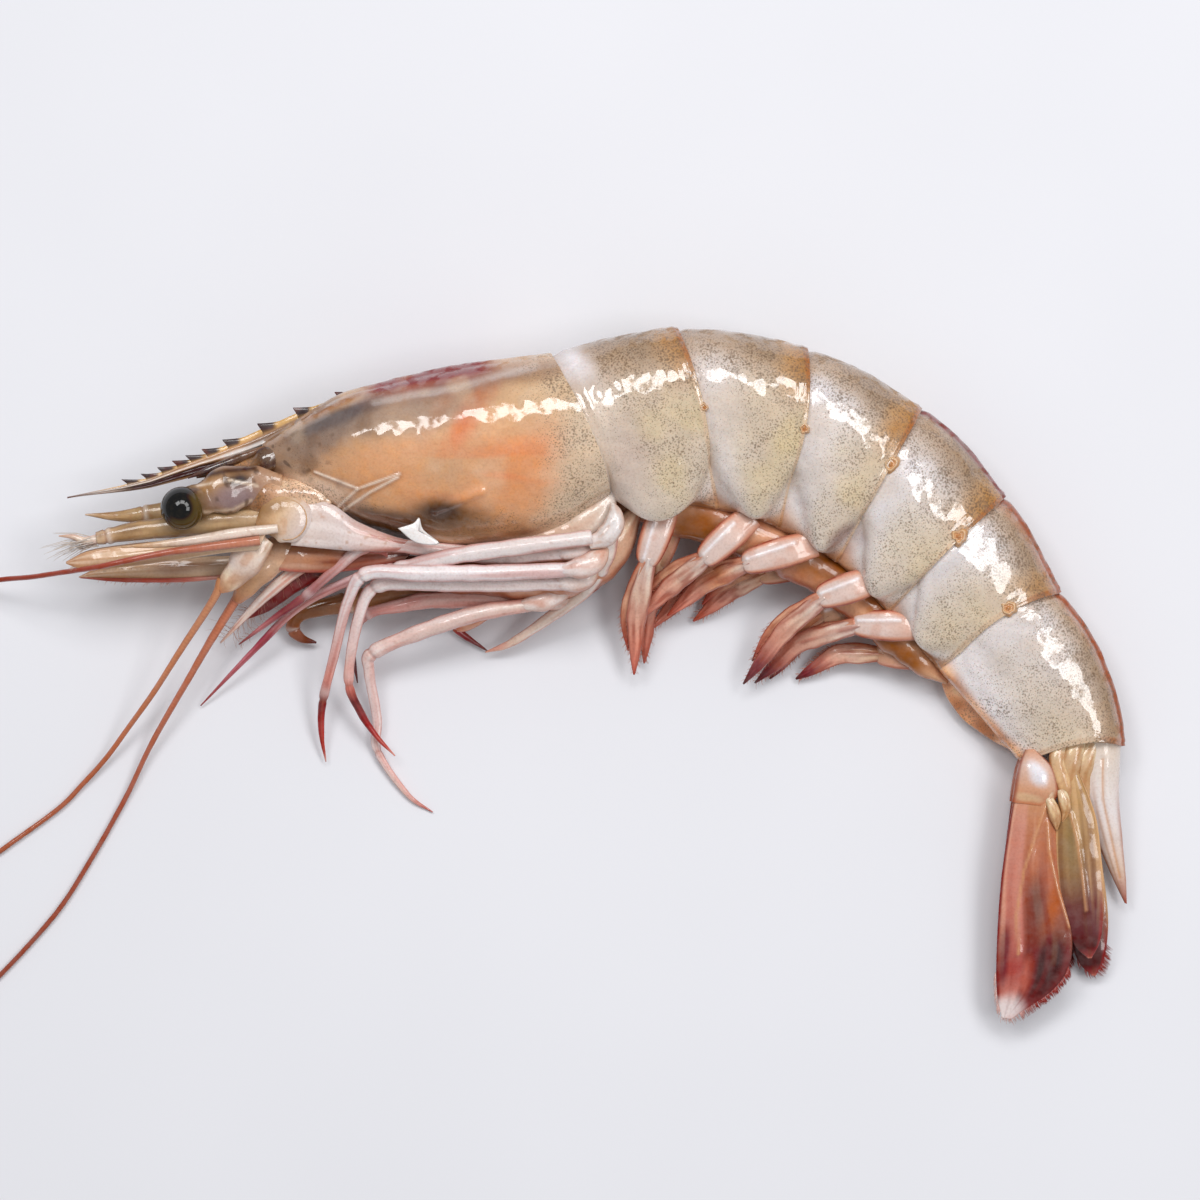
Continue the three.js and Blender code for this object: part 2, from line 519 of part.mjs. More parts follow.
add('carapace', carapace(), 'shell');
PLATES.forEach((_, number) => add(`tail_plate_${number + 1}`, tailPlate(number), 'tail'));
add('head', headBlock(), 'shell');
add('eye_l', eye(EYE_LEFT), 'eye');
add('eye_r', eye(EYE_RIGHT), 'eye');
add('eyestalk_l', eyestalk([12.0, 12.3, 12.6]), 'limb');
add('eyestalk_r', eyestalk([4.7, 4.6, 4.4]), 'limb');
add('antennule_l', antennuleLeft(), 'limb');
add('antennule_r', antennuleRight(), 'limb');
add('scale_l', scaleLeft(), 'limb');
add('scale_r', scaleRight(), 'limb');
add('antenna_base_l', antennaBaseLeft(), 'limb');
add('antenna_base_r', antennaBaseRight(), 'limb');
add('maxilliped_l', maxillipedLeft(), 'limb');
add('maxilliped_r', maxillipedRight(), 'limb');
add('breast_keel', breastKeel(), 'limb');
for (const [name, route] of Object.entries(LEG_ROUTES)) add(`leg_${name}`, leg(route), 'limb');
for (const [name, route] of Object.entries(WHIP_ROUTES)) add(name, whip(route), 'whip');
for (const [name, route] of Object.entries(SWIMMERET_ROUTES)) add(`swimmeret_${name}`, swimmeret(route), 'limb');
add('telson', telson(), 'fan');
for (const [name, make] of Object.entries(FAN)) add(name, make(), 'fan');

export default shrimp;
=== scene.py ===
"""A raw white shrimp, whole, lying on its right flank with its left flank up and its head to -X.

Shapes are worked out in millimetres on the 150 mm square sheet that the shrimp is laid out on, with
points as (across, up) from its lower left corner and heights above the surface it lies on, and they
are turned into metres in the row frame when each mesh is made. Near is the left side, which is up.
"""

import math

import bpy
import numpy as np
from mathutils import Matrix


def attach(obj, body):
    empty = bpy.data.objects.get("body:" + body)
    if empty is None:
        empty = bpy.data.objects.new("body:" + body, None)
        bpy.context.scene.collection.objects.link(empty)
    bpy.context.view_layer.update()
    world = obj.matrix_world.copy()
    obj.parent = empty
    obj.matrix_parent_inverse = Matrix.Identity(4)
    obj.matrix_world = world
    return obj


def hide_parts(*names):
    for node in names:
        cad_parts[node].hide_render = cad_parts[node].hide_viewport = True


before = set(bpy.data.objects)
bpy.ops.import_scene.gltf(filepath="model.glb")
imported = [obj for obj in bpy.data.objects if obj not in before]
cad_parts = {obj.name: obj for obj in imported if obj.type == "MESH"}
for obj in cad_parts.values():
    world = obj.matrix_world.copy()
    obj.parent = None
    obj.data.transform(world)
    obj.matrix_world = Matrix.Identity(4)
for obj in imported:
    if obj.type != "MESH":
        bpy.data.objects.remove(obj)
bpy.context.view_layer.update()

# ---------------------------------------------------------------- driving dimensions, in millimetres

METRES = 0.001
SHEET = 150.0
SHEET_CENTRE = np.array([61.69, 62.68, 0.0])
# The least heights of limbs and hairs and of the body, the floor's height and how far it reaches, and
# the height of the body's middle.
LOWEST = 0.03
BODY_LOWEST = 0.02
FLOOR_LEVEL = -0.02
FLOOR_REACH = 900.0
BODY_LEVEL = 9.0
UP = np.array([0.0, 0.0, 1.0])
# An even turn, so that the cells of the random field don't line up with the sheet.
NOISE_TURN = np.array([[0.36, 0.48, -0.8], [-0.8, 0.6, 0.0], [0.48, 0.64, 0.6]])

SIDE_POWER = 0.8
BELLY_NARROWING = 0.2
REAR_FLARE = 0.3
FLARE_START = 0.7
TUCK_DEPTH = 0.32
TUCK_LENGTH = 0.1

EYE_RADIUS = 2.7
EYES = {"eye_l": (23.1, 86.4, 13.0), "eye_r": (23.5, 86.6, 4.1)}

# Cuts across the body: back, flank and belly points, half width, height of the middle plane and how
# far the soft belly hangs below the near side's seam.
CARAPACE_CUTS = [
    ((32.8, 94.6), (33.2, 92.6), (34.0, 90.5), 2.6, 8.3, 0.0),
    ((37.5, 97.5), (37.5, 93.0), (38.1, 88.5), 4.8, 8.3, 0.0),
    ((43.1, 100.6), (42.8, 93.0), (43.1, 85.5), 6.8, 8.3, 0.0),
    ((50.0, 102.5), (49.8, 93.0), (49.8, 83.3), 8.1, 8.3, 0.0),
    ((56.3, 103.9), (56.6, 93.2), (56.9, 81.8), 8.8, 8.3, 0.0),
    ((62.5, 104.9), (64.5, 93.6), (64.0, 82.3), 9.0, 8.3, 0.0),
    ((66.3, 105.5), (70.6, 94.4), (70.4, 83.6), 8.9, 8.3, 0.0),
    ((68.8, 105.9), (74.4, 95.0), (76.3, 87.7), 8.7, 8.3, 0.0),
]
TAIL_CUTS = [
    ((69.0, 105.9), (74.6, 95.0), (76.5, 87.9), 8.3, 8.0, 0.6),
    ((84.4, 108.9), (87.5, 99.4), (88.7, 90.4), 8.3, 7.6, 4.2),
    ((100.6, 106.5), (100.4, 97.0), (98.0, 88.6), 8.0, 7.3, 4.8),
    ((115.0, 99.0), (110.1, 90.3), (107.0, 84.3), 7.4, 6.7, 5.2),
    ((125.4, 87.9), (118.1, 81.3), (114.1, 76.6), 6.5, 5.8, 4.4),
    ((132.3, 76.0), (125.0, 73.1), (119.3, 67.6), 5.5, 4.9, 2.2),
    ((140.3, 56.9), (135.4, 57.3), (129.2, 55.2), 3.8, 4.0, 1.6),
    ((139.0, 38.0), (139.0, 42.0), (139.0, 44.0), 3.0, 3.6, 1.6),
]
# Each tail plate: how far its near flap hangs below its seams, how far its far flap hangs below the
# belly, how much both lean to the rear (1 is even), and how far its back arches above its seams.
PLATES = [(6.0, 2.5, 0.75, 0.2), (6.2, 2.6, 1.0, 0.2), (6.6, 3.0, 1.6, 0.3), (5.8, 3.0, 1.6, 0.4),
          (4.2, 2.8, 1.5, 0.4), (1.4, 3.6, 1.0, 1.3)]
# For each plate too: how milky its front is and how far to the rear that reaches, how yellow it is low
# on the side, how strong its warm hind band is, and how high its keel stands.
PLATE_MILKY = (0.3, 0.6, 0.95, 1.0, 0.9, 0.8)
PLATE_MILKY_REACH = (0.5, 0.66, 0.95, 1.1, 1.0, 1.1)
PLATE_YELLOW = (0.55, 0.65, 0.5, 0.4, 0.35, 0.15)
PLATE_BAND = (0.8, 1.0, 1.0, 0.85, 0.5, 0.15)
PLATE_KEEL = (0.0, 0.0, 0.0, 0.25, 0.4, 0.5)

ROSTRUM_TOP = [(8.3, 87.9), (15.0, 89.3), (18.8, 90.4), (22.5, 92.0), (26.3, 93.5), (31.3, 95.8),
               (37.5, 98.6), (43.1, 100.7)]
ROSTRUM_LOWER = [(8.3, 87.7), (12.5, 88.4), (18.8, 89.5), (25.0, 91.1), (31.3, 91.8), (38.0, 94.0),
                 (44.0, 98.0)]
TEETH_AT = (16.0, 18.4, 20.4, 22.3, 24.0, 26.0, 28.6, 33.0, 37.4, 42.6)
TOOTH_HEIGHT = 0.75
TOOTH_LENGTH = 1.9

LEG_ROUTES = {
    "l1": [(73.1, 81.0, 11.2), (62.5, 80.5, 11.0), (54.0, 81.3, 10.5), (46.3, 81.8, 10.2), (41.9, 78.8, 8.9),
           (37.9, 75.4, 7.6), (33.6, 72.4, 5.6), (29.5, 69.4, 4.0)],
    "l2": [(74.0, 82.8, 13.2), (65.0, 81.6, 13.3), (57.0, 80.5, 12.8), (50.6, 79.1, 10.5), (45.0, 77.9, 8.1),
           (37.5, 74.4, 5.6), (31.3, 68.6, 3.3), (24.4, 61.6, 0.5)],
    "l3": [(71.9, 78.8, 12.4), (62.5, 78.4, 12.6), (53.0, 78.3, 12.6), (46.0, 78.3, 11.6),
           (43.6, 75.0, 10.0), (41.6, 68.0, 6.3), (40.0, 62.0, 3.3), (39.8, 58.0, 1.9), (40.3, 54.5, 0.8)],
    "l4": [(71.3, 77.1, 10.5), (60.0, 77.0, 10.6), (52.0, 77.2, 10.4), (46.8, 76.6, 9.5), (44.7, 72.5, 8.0),
           (43.4, 65.0, 5.2), (44.8, 60.9, 3.8), (46.8, 57.8, 2.9), (49.1, 55.3, 2.2)],
    "l5": [(76.4, 84.0, 12.0), (75.6, 80.5, 10.8), (73.1, 76.3, 7.6), (68.5, 72.7, 4.6), (63.8, 69.6, 2.4),
           (60.5, 68.4, 1.6)],
    "r1": [(70.0, 76.3, 3.9), (56.0, 76.0, 3.8), (46.0, 75.2, 3.7), (42.3, 74.5, 3.5), (37.5, 73.4, 2.9),
           (36.2, 71.6, 2.3), (37.2, 70.2, 1.6), (39.1, 69.6, 1.1)],
    "r2": [(68.1, 74.8, 6.0), (55.0, 75.0, 6.0), (50.0, 74.3, 5.7), (45.4, 73.0, 4.9), (43.8, 69.5, 3.2),
           (44.3, 64.5, 1.0)],
    "r3": [(66.3, 74.4, 7.8), (60.0, 73.4, 7.5), (53.0, 71.2, 6.3), (46.5, 68.4, 4.7), (45.9, 66.0, 3.7),
           (46.8, 60.0, 1.7), (46.9, 55.8, 1.0), (50.6, 50.4, 0.6), (53.8, 48.1, 0.3)],
    "r4": [(69.0, 76.3, 2.0), (62.5, 74.3, 1.9), (58.1, 71.8, 1.7), (57.0, 71.2, 1.5), (60.8, 68.5, 0.5)],
    "r5": [(75.0, 78.1, 3.0), (73.1, 76.3, 2.0), (70.3, 75.4, 1.1), (65.8, 74.3, 0.45)],
}
WHIP_ROUTES = {
    "antenna_l": [(27.8, 77.6, 9.8), (26.6, 75.0, 8.8), (22.4, 68.8, 6.2), (18.8, 63.4, 4.2),
                  (15.6, 59.1, 2.6), (12.5, 55.0, 1.3), (9.4, 51.6, 0.6), (6.3, 48.5, 0.45),
                  (0.0, 43.9, 0.45), (-5.6, 39.8, 0.4), (-11.3, 33.8, 0.35), (-15.6, 26.9, 0.3),
                  (-18.1, 20.0, 0.2)],
    "antenna_r": [(29.8, 75.8, 7.0), (26.1, 70.0, 5.2), (23.1, 65.0, 3.8), (19.4, 58.8, 2.2),
                  (17.5, 55.3, 1.4), (15.6, 51.3, 0.8), (13.8, 47.9, 0.5), (10.6, 42.3, 0.45),
                  (6.3, 35.6, 0.45), (0.0, 28.5, 0.4), (-5.0, 23.8, 0.35), (-10.6, 19.4, 0.3),
                  (-16.9, 16.3, 0.2)],
    "feeler": [(32.8, 82.4, 13.6), (25.0, 81.4, 14.1), (21.3, 80.9, 14.0), (16.3, 79.9, 13.6),
               (12.5, 79.1, 12.8), (7.5, 78.4, 9.5), (3.8, 77.9, 7.0), (0.0, 77.6, 4.8), (-3.8, 77.1, 2.8),
               (-7.5, 76.0, 1.3), (-11.9, 73.1, 0.5), (-15.0, 68.1, 0.35), (-16.6, 61.9, 0.3),
               (-17.5, 55.0, 0.2)],
}
# Swimming limbs: a root inside the body, the elbow, the middle of the blade and its tip.
SWIMMERET_ROUTES = {
    "l1": [(83.6, 87.5, 10.6), (81.0, 80.0, 9.2), (79.6, 73.1, 5.8), (79.3, 65.6, 2.8)],
    "l2": [(94.0, 85.5, 10.6), (88.3, 80.3, 9.4), (84.0, 76.8, 6.6), (79.0, 72.0, 3.8)],
    "l3": [(102.0, 82.0, 10.4), (93.5, 79.6, 9.0), (88.1, 77.0, 5.4), (83.5, 73.0, 3.2)],
    "l4": [(109.5, 77.5, 9.6), (102.8, 75.3, 8.6), (98.1, 71.0, 6.0), (93.1, 64.4, 2.8)],
    "l5": [(114.8, 71.5, 8.2), (107.3, 71.9, 6.8), (100.0, 69.5, 3.6), (94.6, 64.5, 1.2)],
    "r1": [(84.6, 87.5, 5.6), (82.3, 79.8, 4.6), (81.1, 74.4, 3.0), (80.6, 67.0, 1.2)],
    "r2": [(95.5, 85.0, 5.6), (89.4, 79.6, 4.6), (86.3, 76.3, 3.0), (81.0, 71.0, 0.9)],
    "r3": [(104.4, 80.6, 5.0), (95.6, 78.3, 4.4), (91.3, 76.0, 2.4), (86.8, 72.3, 0.9)],
    "r4": [(110.6, 75.2, 4.8), (103.5, 73.1, 4.2), (99.8, 69.4, 2.0), (96.5, 65.0, 0.9)],
    "r5": [(117.0, 68.0, 4.0), (110.4, 68.2, 3.4), (105.0, 68.1, 2.2), (99.8, 65.0, 0.9)],
}

# Lights: the azimuth that each window leans to and its power; its lean from straight above in
# degrees, its sides and its distance in metres. The camera's lens and sensor are in millimetres.
WINDOWS = ((128.0, 1.75), (84.0, 1.75), (40.0, 1.6), (-4.0, 1.4))
WINDOW_LEAN = 33.0
WINDOW_SIZE = (0.25, 0.3)
WINDOW_DISTANCE = 0.85
ROOM_COLOUR = (0.97, 0.98, 1.0, 1.0)
ROOM_LIGHT = 0.34
LENS = 150.0
SENSOR = 36.0

# ---------------------------------------------------------------- colours


def srgb(code):
    """A colour as seen, six hex digits, turned into the linear values that light works in."""
    seen = np.array([int(code[place:place + 2], 16) for place in (0, 2, 4)]) / 255.0
    return np.where(seen <= 0.04045, seen / 12.92, ((seen + 0.055) / 1.055) ** 2.4)


PALE_SHELL = "ccbcae"
MILKY = "ded6d0"
BROWN = "845434"
PINK = "daa496"
TIP_RED = "9e3a30"
MAROON = "5c2422"
TAN = "a87c5c"

# ---------------------------------------------------------------- maths


def smooth(low, high, value):
    """0 below low, 1 above high, and an even rise between."""
    share = np.clip((value - low) / (high - low), 0.0, 1.0)
    return share * share * (3.0 - 2.0 * share)


def bump_at(value, centre, width):
    """1 at the centre, falling off over the width on both sides."""
    return np.exp(-(((value - centre) / width) ** 2))


def through(rows, t):
    """Points at t, 0 to 1, on the smooth curve through the rows, evenly timed from row to row."""
    rows = np.asarray(rows, float)
    if rows.ndim == 1:
        rows = rows[:, None]
    padded = np.vstack([2 * rows[0] - rows[1], rows, 2 * rows[-1] - rows[-2]])
    place = np.asarray(t, float) * (len(rows) - 1)
    start = np.clip(np.floor(place).astype(int), 0, len(rows) - 2)
    w = (place - start)[..., None]
    p0, p1, p2, p3 = (padded[start + k] for k in range(4))
    return p1 + 0.5 * w * (p2 - p0 + w * (2 * p0 - 5 * p1 + 4 * p2 - p3 + w * (3 * (p1 - p2) + p3 - p0)))


def unit(vectors, least=0.0):
    """The vectors made one long, or shorter than one where they are below least."""
    return vectors / np.maximum(np.linalg.norm(vectors, axis=-1, keepdims=True), least)


def heading(route, t, step=0.02):
    """Directions of the route at t."""
    return unit(through(route, np.minimum(t + step, 1.0)) - through(route, t - step))


def noise(points, size, seed=0):
    """Smooth random field from -1 to 1 that changes over about size millimetres."""
    place = np.asarray(points, float) @ NOISE_TURN / size + seed * 7.31
    cell = np.floor(place).astype(np.int64)
    share = place - cell
    share = share * share * (3 - 2 * share)
    total = np.zeros(cell.shape[:-1])
    for corner in range(8):
        step = np.array([corner & 1, (corner >> 1) & 1, corner >> 2])
        key = ((cell + step) * np.array([73856093, 19349663, 83492791])).sum(-1) + seed * 2654435
        key = (key ^ (key >> 13)) * 1274126177
        key = (key ^ (key >> 16)) & 0xFFFFFF
        weight = np.where(step == 1, share, 1 - share).prod(-1)
        total += weight * (key / 0x7FFFFF - 1.0)
    return total


def plain(points, colour):
    """One colour for all the points."""
    return np.broadcast_to(srgb(colour), points.shape)


def grain(across, along, seed):
    """Smooth random field from -1 to 1 over two measures of a piece."""
    return noise(np.stack([across, along, 0 * across], -1), 1.0, seed)


def ramp(t, stops):
    """Colour at t along the stops, which give a colour for each place."""
    colours = np.array([srgb(colour) for colour in stops.values()])
    return np.stack([np.interp(t, list(stops), colours[:, i]) for i in range(3)], -1)


def paint(base, colour, amount):
    """Lays colour over base by amount, 0 to 1 at each point."""
    amount = np.clip(np.asarray(amount), 0.0, 1.0)[..., None]
    return base * (1 - amount) + (srgb(colour) if isinstance(colour, str) else colour) * amount


def layers(tint, points, coats):
    """Lays the coats over the tint in their order. Each is a colour and its amount at each point, and may
    go on with what patch takes, which then bounds it."""
    for colour, amount, *oval in coats:
        bound = patch(points, *oval) if oval else 1.0
        tint = paint(tint, colour, amount * bound)
    return tint


def deepen(tint):
    """Darkens the darker colours a little, painted shade that offsets the pale sheen which reflections of
    the room lay over them.
    """
    tint = np.asarray(tint, float)
    return np.clip(tint - 0.03 * np.clip(1 - tint / 0.5, 0, 1), 0.002, 1)


def patch(points, centre, long, short, turn=0.0, soft=0.5, ragged=0.25):
    """1 inside an uneven oval on the sheet, fading out across its edge."""
    across = points[..., 0] - centre[0]
    up = points[..., 1] - centre[1]
    angle = math.radians(turn)
    along = across * math.cos(angle) + up * math.sin(angle)
    beside = -across * math.sin(angle) + up * math.cos(angle)
    distance = np.sqrt((along / long) ** 2 + (beside / short) ** 2)
    distance = distance + ragged * noise(points, 0.5 * (long + short), 17)
    return 1 - smooth(1 - soft, 1 + soft, distance)


def line_mark(points, line, width):
    """1 on the line of sheet points, falling off over the width."""
    nearest = np.full(points.shape[:-1], 1e9)
    flat = points[..., :2]
    for start, end in zip(line[:-1], line[1:]):
        start = np.asarray(start, float)
        span = np.asarray(end, float) - start
        share = np.clip(((flat - start) @ span) / (span @ span), 0, 1)
        nearest = np.minimum(nearest, np.linalg.norm(flat - start - share[..., None] * span, axis=-1))
    return np.exp(-((nearest / width) ** 2))


# ---------------------------------------------------------------- meshes


def make_mesh(name, points, faces, tint, material, values=None, smooth_faces=True):
    """An object from sheet points, faces and a colour for each point. values holds more numbers by name."""
    points = np.asarray(points, float).reshape(-1, 3)
    mesh = bpy.data.meshes.new(name)
    mesh.from_pydata(((points - SHEET_CENTRE) * METRES).tolist(), [], faces)
    colours = mesh.color_attributes.new("tint", "FLOAT_COLOR", "POINT")
    rgba = np.ones((len(points), 4))
    rgba[:, :3] = deepen(np.asarray(tint, float).reshape(-1, 3))
    colours.data.foreach_set("color", rgba.ravel())
    for key, value in (values or {}).items():
        layer = mesh.attributes.new(key, "FLOAT", "POINT")
        layer.data.foreach_set("value", np.broadcast_to(value, points.shape[:1]).astype(float).ravel())
    mesh.polygons.foreach_set("use_smooth", [smooth_faces] * len(mesh.polygons))
    mesh.materials.append(material)
    mesh.update()
    piece = bpy.data.objects.new(name, mesh)
    bpy.context.scene.collection.objects.link(piece)
    return piece


def ring_faces(rings, count, start=0):
    """Faces over rings of points, ring by ring, with strips across the two ends."""
    index = start + np.arange(rings * count).reshape(rings, count)
    turned = np.roll(index, -1, axis=1)
    faces = np.stack([index[:-1], index[1:], turned[1:], turned[:-1]], -1).reshape(-1, 4).tolist()
    half = count // 2
    for end, step in ((index[0], 1), (index[-1], -1)):
        end = end.tolist()
        strip = [[end[0], end[1], end[-1]]]
        strip += [[end[i], end[i + 1], end[count - i - 1], end[count - i]] for i in range(1, half - 1)]
        strip.append([end[half - 1], end[half], end[half + 1]])
        faces += [face[::step] for face in strip]
    return faces


class Parts:
    """Closed grids and loose faces gathered into one mesh."""

    def __init__(self):
        self.points = []
        self.tints = []
        self.faces = []
        self.count = 0

    def grid(self, points, tint):
        rings, count = points.shape[:2]
        self.faces += ring_faces(rings, count, self.count)
        self.loose(points.reshape(-1, 3), tint.reshape(-1, 3), [])

    def loose(self, points, tint, faces):
        self.faces += [[self.count + corner for corner in face] for face in faces]
        self.points.append(points)
        self.tints.append(tint)
        self.count += len(points)

    def hairs(self, roots, tips, width, sag, tint):
        points, faces = strands(roots, tips, width, sag)
        self.loose(points, plain(points, tint), faces)

    def build(self, name, material, nodes, values=None):
        points = np.concatenate(self.points)
        piece = make_mesh(name, points, self.faces, np.concatenate(self.tints), material, values)
        return finish_piece(piece, nodes)


def finish_piece(piece, nodes):
    """Says what the piece rides on and which nodes it stands for."""
    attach(piece, "root")
    if nodes:
        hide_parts(*nodes)
    return piece


def grid_piece(name, nodes, points, tint, material, values=None):
    """One closed grid as a piece of its own."""
    faces = ring_faces(*points.shape[:2])
    return finish_piece(make_mesh(name, points, faces, tint, material, values), nodes)


def grid_of(rings, around):
    """Each point's t, 0 to 1 from ring to ring, and its angle around the ring."""
    t, angle = np.meshgrid(np.linspace(0, 1, rings), np.linspace(0, 2 * np.pi, around, endpoint=False),
                           indexing="ij")
    return t, angle


def grid_normals(points):
    """Outward directions on a closed grid of rings."""
    along = np.gradient(points, axis=0)
    around = (np.roll(points, -1, axis=1) - np.roll(points, 1, axis=1)) / 2
    normal = unit(np.cross(along, around), 1e-9)
    middle = points.mean(axis=1, keepdims=True)
    if ((points - middle) * normal).sum() < 0:
        normal = -normal
    return normal


def strands(roots, tips, width, sag=0.0):
    """Fine three-sided hairs from roots to tips: points and faces. sag bows each one to a side."""
    way = tips - roots
    length = np.linalg.norm(way, axis=1, keepdims=True)
    way = way / length
    side = unit(np.cross(way, UP))
    over = np.cross(way, side)
    rings = []
    for share, size in ((0.0, 1.0), (0.5, 0.7), (0.92, 0.35)):
        centre = roots + (tips - roots) * share + side * length * sag * math.sin(math.pi * share)
        for corner in range(3):
            turn = 2 * math.pi * corner / 3
            rings.append(centre + width * size * (math.cos(turn) * side + math.sin(turn) * over))
    rings.append(tips)
    points = np.stack(rings, 1)
    points[..., 2] = np.maximum(points[..., 2], LOWEST)
    first = np.arange(len(roots)) * 10
    faces = []
    for ring in (0, 3):
        for corner in range(3):
            a, b = ring + corner, ring + (corner + 1) % 3
            faces.append(np.stack([first + a, first + b, first + b + 3, first + a + 3], 1))
    sides = np.concatenate(faces).tolist()
    for corner in range(3):
        a, b = 6 + corner, 6 + (corner + 1) % 3
        sides += np.stack([first + a, first + b, first + 9], 1).tolist()
    sides += np.stack([first + 2, first + 1, first], 1).tolist()
    return points.reshape(-1, 3), sides


# ---------------------------------------------------------------- materials


class Nodes:
    """Short ways to add shader nodes to one material."""

    def __init__(self, name):
        self.material = bpy.data.materials.new(name)
        self.material.use_nodes = True
        self.tree = self.material.node_tree
        self.shader = self.tree.nodes["Principled BSDF"]
        self.place = self.tree.nodes.new("ShaderNodeTexCoord").outputs["Object"]

    def link(self, source, target):
        self.tree.links.new(source, target)

    def attribute(self, name, output="Fac"):
        node = self.tree.nodes.new("ShaderNodeAttribute")
        node.attribute_name = name
        return node.outputs[output]

    def texture(self, kind, size_mm):
        node = self.tree.nodes.new(kind)
        node.inputs["Scale"].default_value = 1.0 / (size_mm * METRES)
        self.link(self.place, node.inputs["Vector"])
        return node

    def noise(self, size_mm, detail=2.0):
        node = self.texture("ShaderNodeTexNoise", size_mm)
        node.inputs["Detail"].default_value = detail
        return node.outputs["Fac"]

    def cells(self, size_mm):
        return self.texture("ShaderNodeTexVoronoi", size_mm).outputs["Distance"]

    def remap(self, value, low, high, out_low=0.0, out_high=1.0):
        node = self.tree.nodes.new("ShaderNodeMapRange")
        for key, number in zip(("From Min", "From Max", "To Min", "To Max"), (low, high, out_low, out_high)):
            node.inputs[key].default_value = number
        self.link(value, node.inputs["Value"])
        return node.outputs["Result"]

    def clouds(self, size_mm, detail, span, reach=(0.0, 1.0)):
        """Noise between the two values of span, spread over reach."""
        return self.remap(self.noise(size_mm, detail), *span, *reach)

    def math(self, operation, first, second):
        node = self.tree.nodes.new("ShaderNodeMath")
        node.operation = operation
        for socket, value in zip(node.inputs, (first, second)):
            if isinstance(value, (int, float)):
                socket.default_value = value
            else:
                self.link(value, socket)
        return node.outputs["Value"]

    def mix(self, amount, first, second, blend="MIX"):
        node = self.tree.nodes.new("ShaderNodeMix")
        node.data_type = "RGBA"
        node.blend_type = blend
        self.link(amount, node.inputs["Factor"])
        for socket, value in ((node.inputs[6], first), (node.inputs[7], second)):
            if isinstance(value, str):
                socket.default_value = (*srgb(value), 1.0)
            else:
                self.link(value, socket)
        return node.outputs[2]

    def bump(self, height, depth_mm, onto=None):
        node = self.tree.nodes.new("ShaderNodeBump")
        node.inputs["Strength"].default_value = 1.0
        node.inputs["Distance"].default_value = depth_mm * METRES
        self.link(height, node.inputs["Height"])
        if onto is not None:
            self.link(onto, node.inputs["Normal"])
        return node.outputs["Normal"]

    def surface(self, **values):
        for key, value in values.items():
            self.shader.inputs[key.replace("_", " ")].default_value = value

    def pepper(self, colour, size_mm, reach, ink, amount):
        """Small soft-edged dots of ink, as large at each point as the pepper value there."""
        reached = self.clouds(2.4, 2.0, (0.3, 0.7), (0.5 * reach, reach))
        size = self.math("MULTIPLY", self.attribute("pepper"), reached)
        inside = self.math("SUBTRACT", size, self.cells(size_mm))
        return self.mix(self.remap(inside, -0.05, 0.09, 0.0, amount), colour, ink)


def wet_material(name, dots=False, scatter=0.15, radius=(1.2, 0.7, 0.45), ripple_mm=0.26, fine_mm=0.02,
                 coat=1.0, rough=(0.3, 0.45), gloss=1.75):
    """Wet shell or skin: painted colour, fine mottling, pepper dots, soft scatter, and a film of water
    that is thick in some places and nearly dry in others."""
    nodes = Nodes(name)
    colour = nodes.attribute("tint", "Color")
    colour = nodes.mix(nodes.clouds(1.1, 4.0, (0.4, 0.75), (0.0, 0.05)), colour, MILKY)
    colour = nodes.mix(nodes.clouds(0.3, 3.0, (0.45, 0.75), (0.0, 0.2)), colour, TAN, "MULTIPLY")
    if dots:
        colour = nodes.pepper(colour, 0.4, 0.4, "624a34", 0.55)
        colour = nodes.pepper(colour, 0.26, 0.5, "705840", 0.5)
    nodes.link(colour, nodes.shader.inputs["Base Color"])
    nodes.link(nodes.clouds(2.2, 3.0, (0.3, 0.7), rough), nodes.shader.inputs["Roughness"])
    nodes.link(nodes.clouds(1.6, 3.0, (0.4, 0.5), (0.05 * coat, coat)), nodes.shader.inputs["Coat Weight"])
    ripple = nodes.bump(nodes.noise(2.6, 1.5), ripple_mm)
    nodes.link(nodes.bump(nodes.noise(0.6, 2.0), fine_mm, ripple), nodes.shader.inputs["Normal"])
    nodes.surface(Subsurface_Weight=scatter, Subsurface_Radius=tuple(r * METRES for r in radius),
                  Subsurface_Scale=1.0, Coat_Roughness=0.05, Coat_IOR=gloss, IOR=1.36)
    return nodes.material


def eye_material():
    nodes = Nodes("eye_gloss")
    colour = nodes.attribute("tint", "Color")
    colour = nodes.mix(nodes.clouds(0.5, 3.0, (0.45, 0.75), (0.0, 0.25)), colour, "3c3220")
    nodes.link(colour, nodes.shader.inputs["Base Color"])
    nodes.link(nodes.bump(nodes.noise(0.9, 1.0), 0.008), nodes.shader.inputs["Normal"])
    nodes.link(nodes.clouds(1.0, 2.0, (0.3, 0.7), (0.06, 0.14)), nodes.shader.inputs["Roughness"])
    nodes.surface(Coat_Weight=0.3, Coat_Roughness=0.03, IOR=1.36)
    return nodes.material


def floor_material():
    nodes = Nodes("floor_plain")
    colour = nodes.mix(nodes.clouds(60.0, 2.0, (0.3, 0.7)), "e2e2e7", "e5e5ea")
    nodes.link(colour, nodes.shader.inputs["Base Color"])
    nodes.surface(Roughness=0.8)
    return nodes.material


